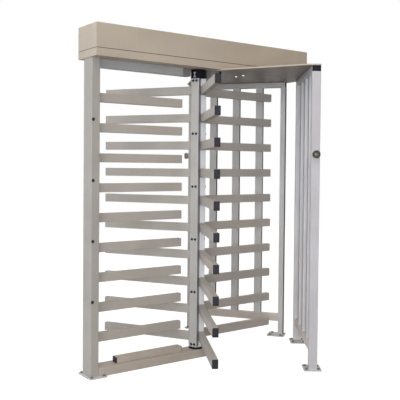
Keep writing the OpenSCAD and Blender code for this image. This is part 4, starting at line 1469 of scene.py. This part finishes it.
@dataclass(frozen=True)
class AnchorBolt:
    """A floor anchor: shank in the plate's hole, washer and hexagonal head. Its axis is +z from the floor."""

    shank: float = 0.0050
    head: float = 0.0096
    washer: float = 0.0104
    plate: float = 0.008

    def mesh(self) -> Mesh:
        """The anchor as one mesh.

        Returns:
            The mesh.
        """
        r, w, h, z = self.shank, self.washer, self.head, self.plate
        shank = lathe(((0.0, 0.0002), (r, 0.0002), (r, z + 0.003), (0.0, z + 0.003)), 20)
        flat = lathe(((r + 0.0002, z), (w - 0.0002, z), (w, z + 0.0003), (w, z + 0.0013),
                      (w - 0.0004, z + 0.0017), (r + 0.0002, z + 0.0017), (r + 0.0002, z)), 32)
        dome = lathe(((0.0, z + 0.007), (h * 0.80, z + 0.007), (h * 0.66, z + 0.0081), (h * 0.35, z + 0.0086),
                      (0.0, z + 0.0087)), 24)
        return joined(shank, flat, hexagon(h, z + 0.0017, z + 0.0076, 0.0008), dome)


@dataclass
class Anchors(SubAssembly):
    """The anchors that hold the five foot plates to the floor."""

    turn_deg: float = 53.8
    left: Point = (-0.843, 0.0, 0.0)
    left_half: tuple[float, float] = (0.045, 0.075)
    feet: tuple[tuple[float, float], ...] = ((0.48715, 0.71095), (0.91474, 0.12671))
    foot_half: float = 0.0425
    head_turn_deg: float = 20.0
    bolt: AnchorBolt = AnchorBolt()

    def build(self) -> Iterable[Piece]:
        """All the anchors as one piece, each head turned on from the last.

        Returns:
            The piece.
        """
        bolts = CopySet("anchor_bolts", self.bolt.mesh(), ANCHOR_STEEL)
        plates = [(at(*self.left), self.left_half)]
        for way in (-1.0, 1.0):
            for x, y in self.feet:
                foot = at(x, way * y, 0.0) @ spun(-way * self.turn_deg)
                plates.append((foot, (self.foot_half, self.foot_half)))
        for place, (half_x, half_y) in plates:
            for sx, sy in ((-1, -1), (1, -1), (1, 1), (-1, 1)):
                spin = spun(self.head_turn_deg * len(bolts.places))
                bolts.put(place @ at(sx * half_x, sy * half_y, 0.0) @ spin)
        return self.kept(((bolts, "screw_steel", None),))


@dataclass
class Drive(SubAssembly):
    """What the head hides: shaft, bearing, lock, motor and electric units."""

    FINISHES: ClassVar[dict[str, Finish]] = {
        "pivot_pin": BRIGHT_STEEL, "drive_shaft": BRIGHT_STEEL, "bearing_inner": BEARING_STEEL,
        "bearing_outer": BEARING_STEEL, "bearing_housing": CAST, "lock_wheel": BRIGHT_STEEL,
        "drive_gear": BRIGHT_STEEL, "shaft_nut": BRIGHT_STEEL, "drive_bolts": SCREW_STEEL,
        "lock_pawl_in": BRIGHT_STEEL, "lock_pawl_out": BRIGHT_STEEL, "pawl_pivots": BRIGHT_STEEL,
        "lock_solenoids": COIL_ENAMEL, "plunger_in": BRIGHT_STEEL, "plunger_out": BRIGHT_STEEL,
        "drive_motor": MOTOR_ENAMEL, "motor_pinion": PINION_STEEL, "position_sensor": SENSOR_ORANGE,
        "control_box": BOX_GREY, "power_supply": SUPPLY_METAL}


# ---- Studio ----


@dataclass(frozen=True)
class SoftBox:
    """A large soft lamp."""

    name: str
    place: Point
    aim_z: float
    size: tuple[float, float]
    power: float
    colour: Colour
    AIM_X: ClassVar[float] = -0.1

    def make(self) -> None:
        """Adds the lamp, aimed at the middle of the object."""
        data = bpy.data.lights.new(self.name, "AREA")
        data.shape, data.size, data.size_y = "RECTANGLE", *self.size
        data.energy, data.color = self.power, self.colour
        lamp = new_object(self.name, data)
        lamp.location = self.place
        aim = Vector((self.AIM_X, 0.0, self.aim_z)) - Vector(self.place)
        lamp.rotation_euler = aim.to_track_quat("-Z", "Y").to_euler()


@dataclass(frozen=True)
class Glow:
    """Soft light from all round, strongest from one direction and nothing from the opposite one."""

    direction: Point
    colour: Colour
    strength: float


@dataclass(frozen=True)
class Viewpoint:
    """The scene's camera, as a pinhole with a level, a tilt and a slight roll."""

    place: Point
    yaw_deg: float
    pitch_deg: float
    roll_deg: float
    focal: float
    centre_y: float
    sensor: float = 36.0
    pixels: int = 400
    reach: float = 60.0

    def make(self) -> None:
        """Adds the camera and makes it the scene's."""
        yaw, pitch, roll = (math.radians(a) for a in (self.yaw_deg, self.pitch_deg, self.roll_deg))
        ahead = Vector((math.cos(yaw) * math.cos(pitch), math.sin(yaw) * math.cos(pitch), math.sin(pitch)))
        right = Vector((math.sin(yaw), -math.cos(yaw), 0.0))
        up = right.cross(ahead)
        cos, sin = math.cos(roll), math.sin(roll)
        right, up = cos * right + sin * up, cos * up - sin * right
        data = bpy.data.cameras.new("viewpoint")
        data.sensor_fit, data.sensor_width = "HORIZONTAL", self.sensor
        data.lens = self.focal / self.pixels * self.sensor
        data.shift_y = (self.centre_y - self.pixels / 2) / self.pixels
        data.clip_end = self.reach
        camera = new_object("viewpoint", data)
        camera.matrix_world = at(*self.place) @ Matrix((right, up, -ahead)).transposed().to_4x4()
        bpy.context.scene.camera = camera


@dataclass
class Studio:
    """Plain pale floor, soft lamps, white surroundings and the camera."""

    floor_size: float = 16.0
    floor_drop: float = 0.0005
    floor_colour: Colour = (0.40, 0.40, 0.39)
    floor_lift: float = 0.88
    glows: tuple[Glow, ...] = (Glow((0.0, 1.0, 0.0), (1.0, 0.977, 0.974), 0.427),
                               Glow((0.0, 0.0, 1.0), (1.0, 0.859, 0.661), 0.304))
    lamps: tuple[SoftBox, ...] = (
        SoftBox("high_key", (-3.0, -4.6, 9.0), 1.2, (3.6, 3.6), 110.6, (1.0, 0.81, 0.614)),
        SoftBox("near_key", (-3.4, -3.6, 5.2), 1.4, (2.2, 2.2), 43.2, (1.0, 0.993, 0.917)),
        SoftBox("left_key", (-7.6, -4.4, 3.0), 1.2, (3.0, 3.0), 155.4, (0.887, 0.919, 1.0)),
        SoftBox("front_key", (-3.2, -5.0, 1.5), 1.2, (1.4, 2.2), 90.6, (0.887, 0.944, 1.0)),
        SoftBox("left_fill", (-4.8, 0.4, 3.0), 1.6, (1.8, 1.8), 55.8, (0.882, 0.961, 1.0)),
        SoftBox("right_fill", (1.5, -7.5, 2.4), 1.2, (3.0, 3.0), 24.0, (1.0, 0.979, 0.9375)))
    viewpoint: Viewpoint = Viewpoint((-2.859378, -4.018687, 1.406286), yaw_deg=54.336, pitch_deg=-1.359,
                                     roll_deg=0.534, focal=669.305, centre_y=181.755)

    def world(self) -> None:
        """Lights the scene softly from behind and above, and shows white behind it."""
        world = bpy.data.worlds.new("studio")
        bpy.context.scene.world = world
        g = Graph(world, "OutputWorld")
        both = g.add("AddShader")
        for entry, glow in zip(both.inputs, self.glows):
            facing = g.vector("DOT_PRODUCT", g.coordinates.outputs["Generated"], glow.direction)
            level = g.add("MapRange", {"Value": facing, "From Min": -1.0, "From Max": 1.0, "To Min": 0.0,
                                       "To Max": glow.strength}).outputs["Result"]
            g.fill(entry, g.add("Background", {"Color": glow.colour, "Strength": level}).outputs[0])
        white = g.add("Background", {"Color": (1.0, 1.0, 1.0), "Strength": 1.0}).outputs[0]
        g.fill(g.surface, g.add("MixShader", {0: g.seen, 1: both.outputs[0], 2: white}).outputs[0])

    def floor(self) -> None:
        """Lays the pale floor, which shows white and keeps the shadow."""
        half, z = self.floor_size / 2, -self.floor_drop
        mesh = bpy.data.meshes.new("floor")
        mesh.from_pydata([(-half, -half, z), (half, -half, z), (half, half, z), (-half, half, z)], [],
                         [(0, 1, 2, 3)])
        g = Graph(bpy.data.materials.new("pale_floor"))
        lit = g.add("BsdfDiffuse", {"Color": self.floor_colour}).outputs[0]
        glow = g.add("Emission", {"Strength": g.times(g.seen, self.floor_lift)}).outputs[0]
        g.fill(g.surface, g.add("AddShader", {0: lit, 1: glow}).outputs[0])
        mesh.materials.append(g.owner)
        new_object("floor", mesh)

    def make(self) -> None:
        """Builds the studio and sets the plain view transform."""
        self.world()
        self.floor()
        for lamp in self.lamps:
            lamp.make()
        self.viewpoint.make()
        bpy.context.scene.view_settings.view_transform = "Standard"


def main() -> None:
    """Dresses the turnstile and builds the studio."""
    logging.basicConfig(level=logging.INFO, format="%(name)s: %(message)s")
    for group in (Barrier(), Rotor(), GuidePanels(), Head(), Anchors(), Drive()):
        log.info("dressing %s", type(group).__name__)
        group.dress()
    Studio().make()
    bpy.context.view_layer.update()


if __name__ == "__main__":
    main()
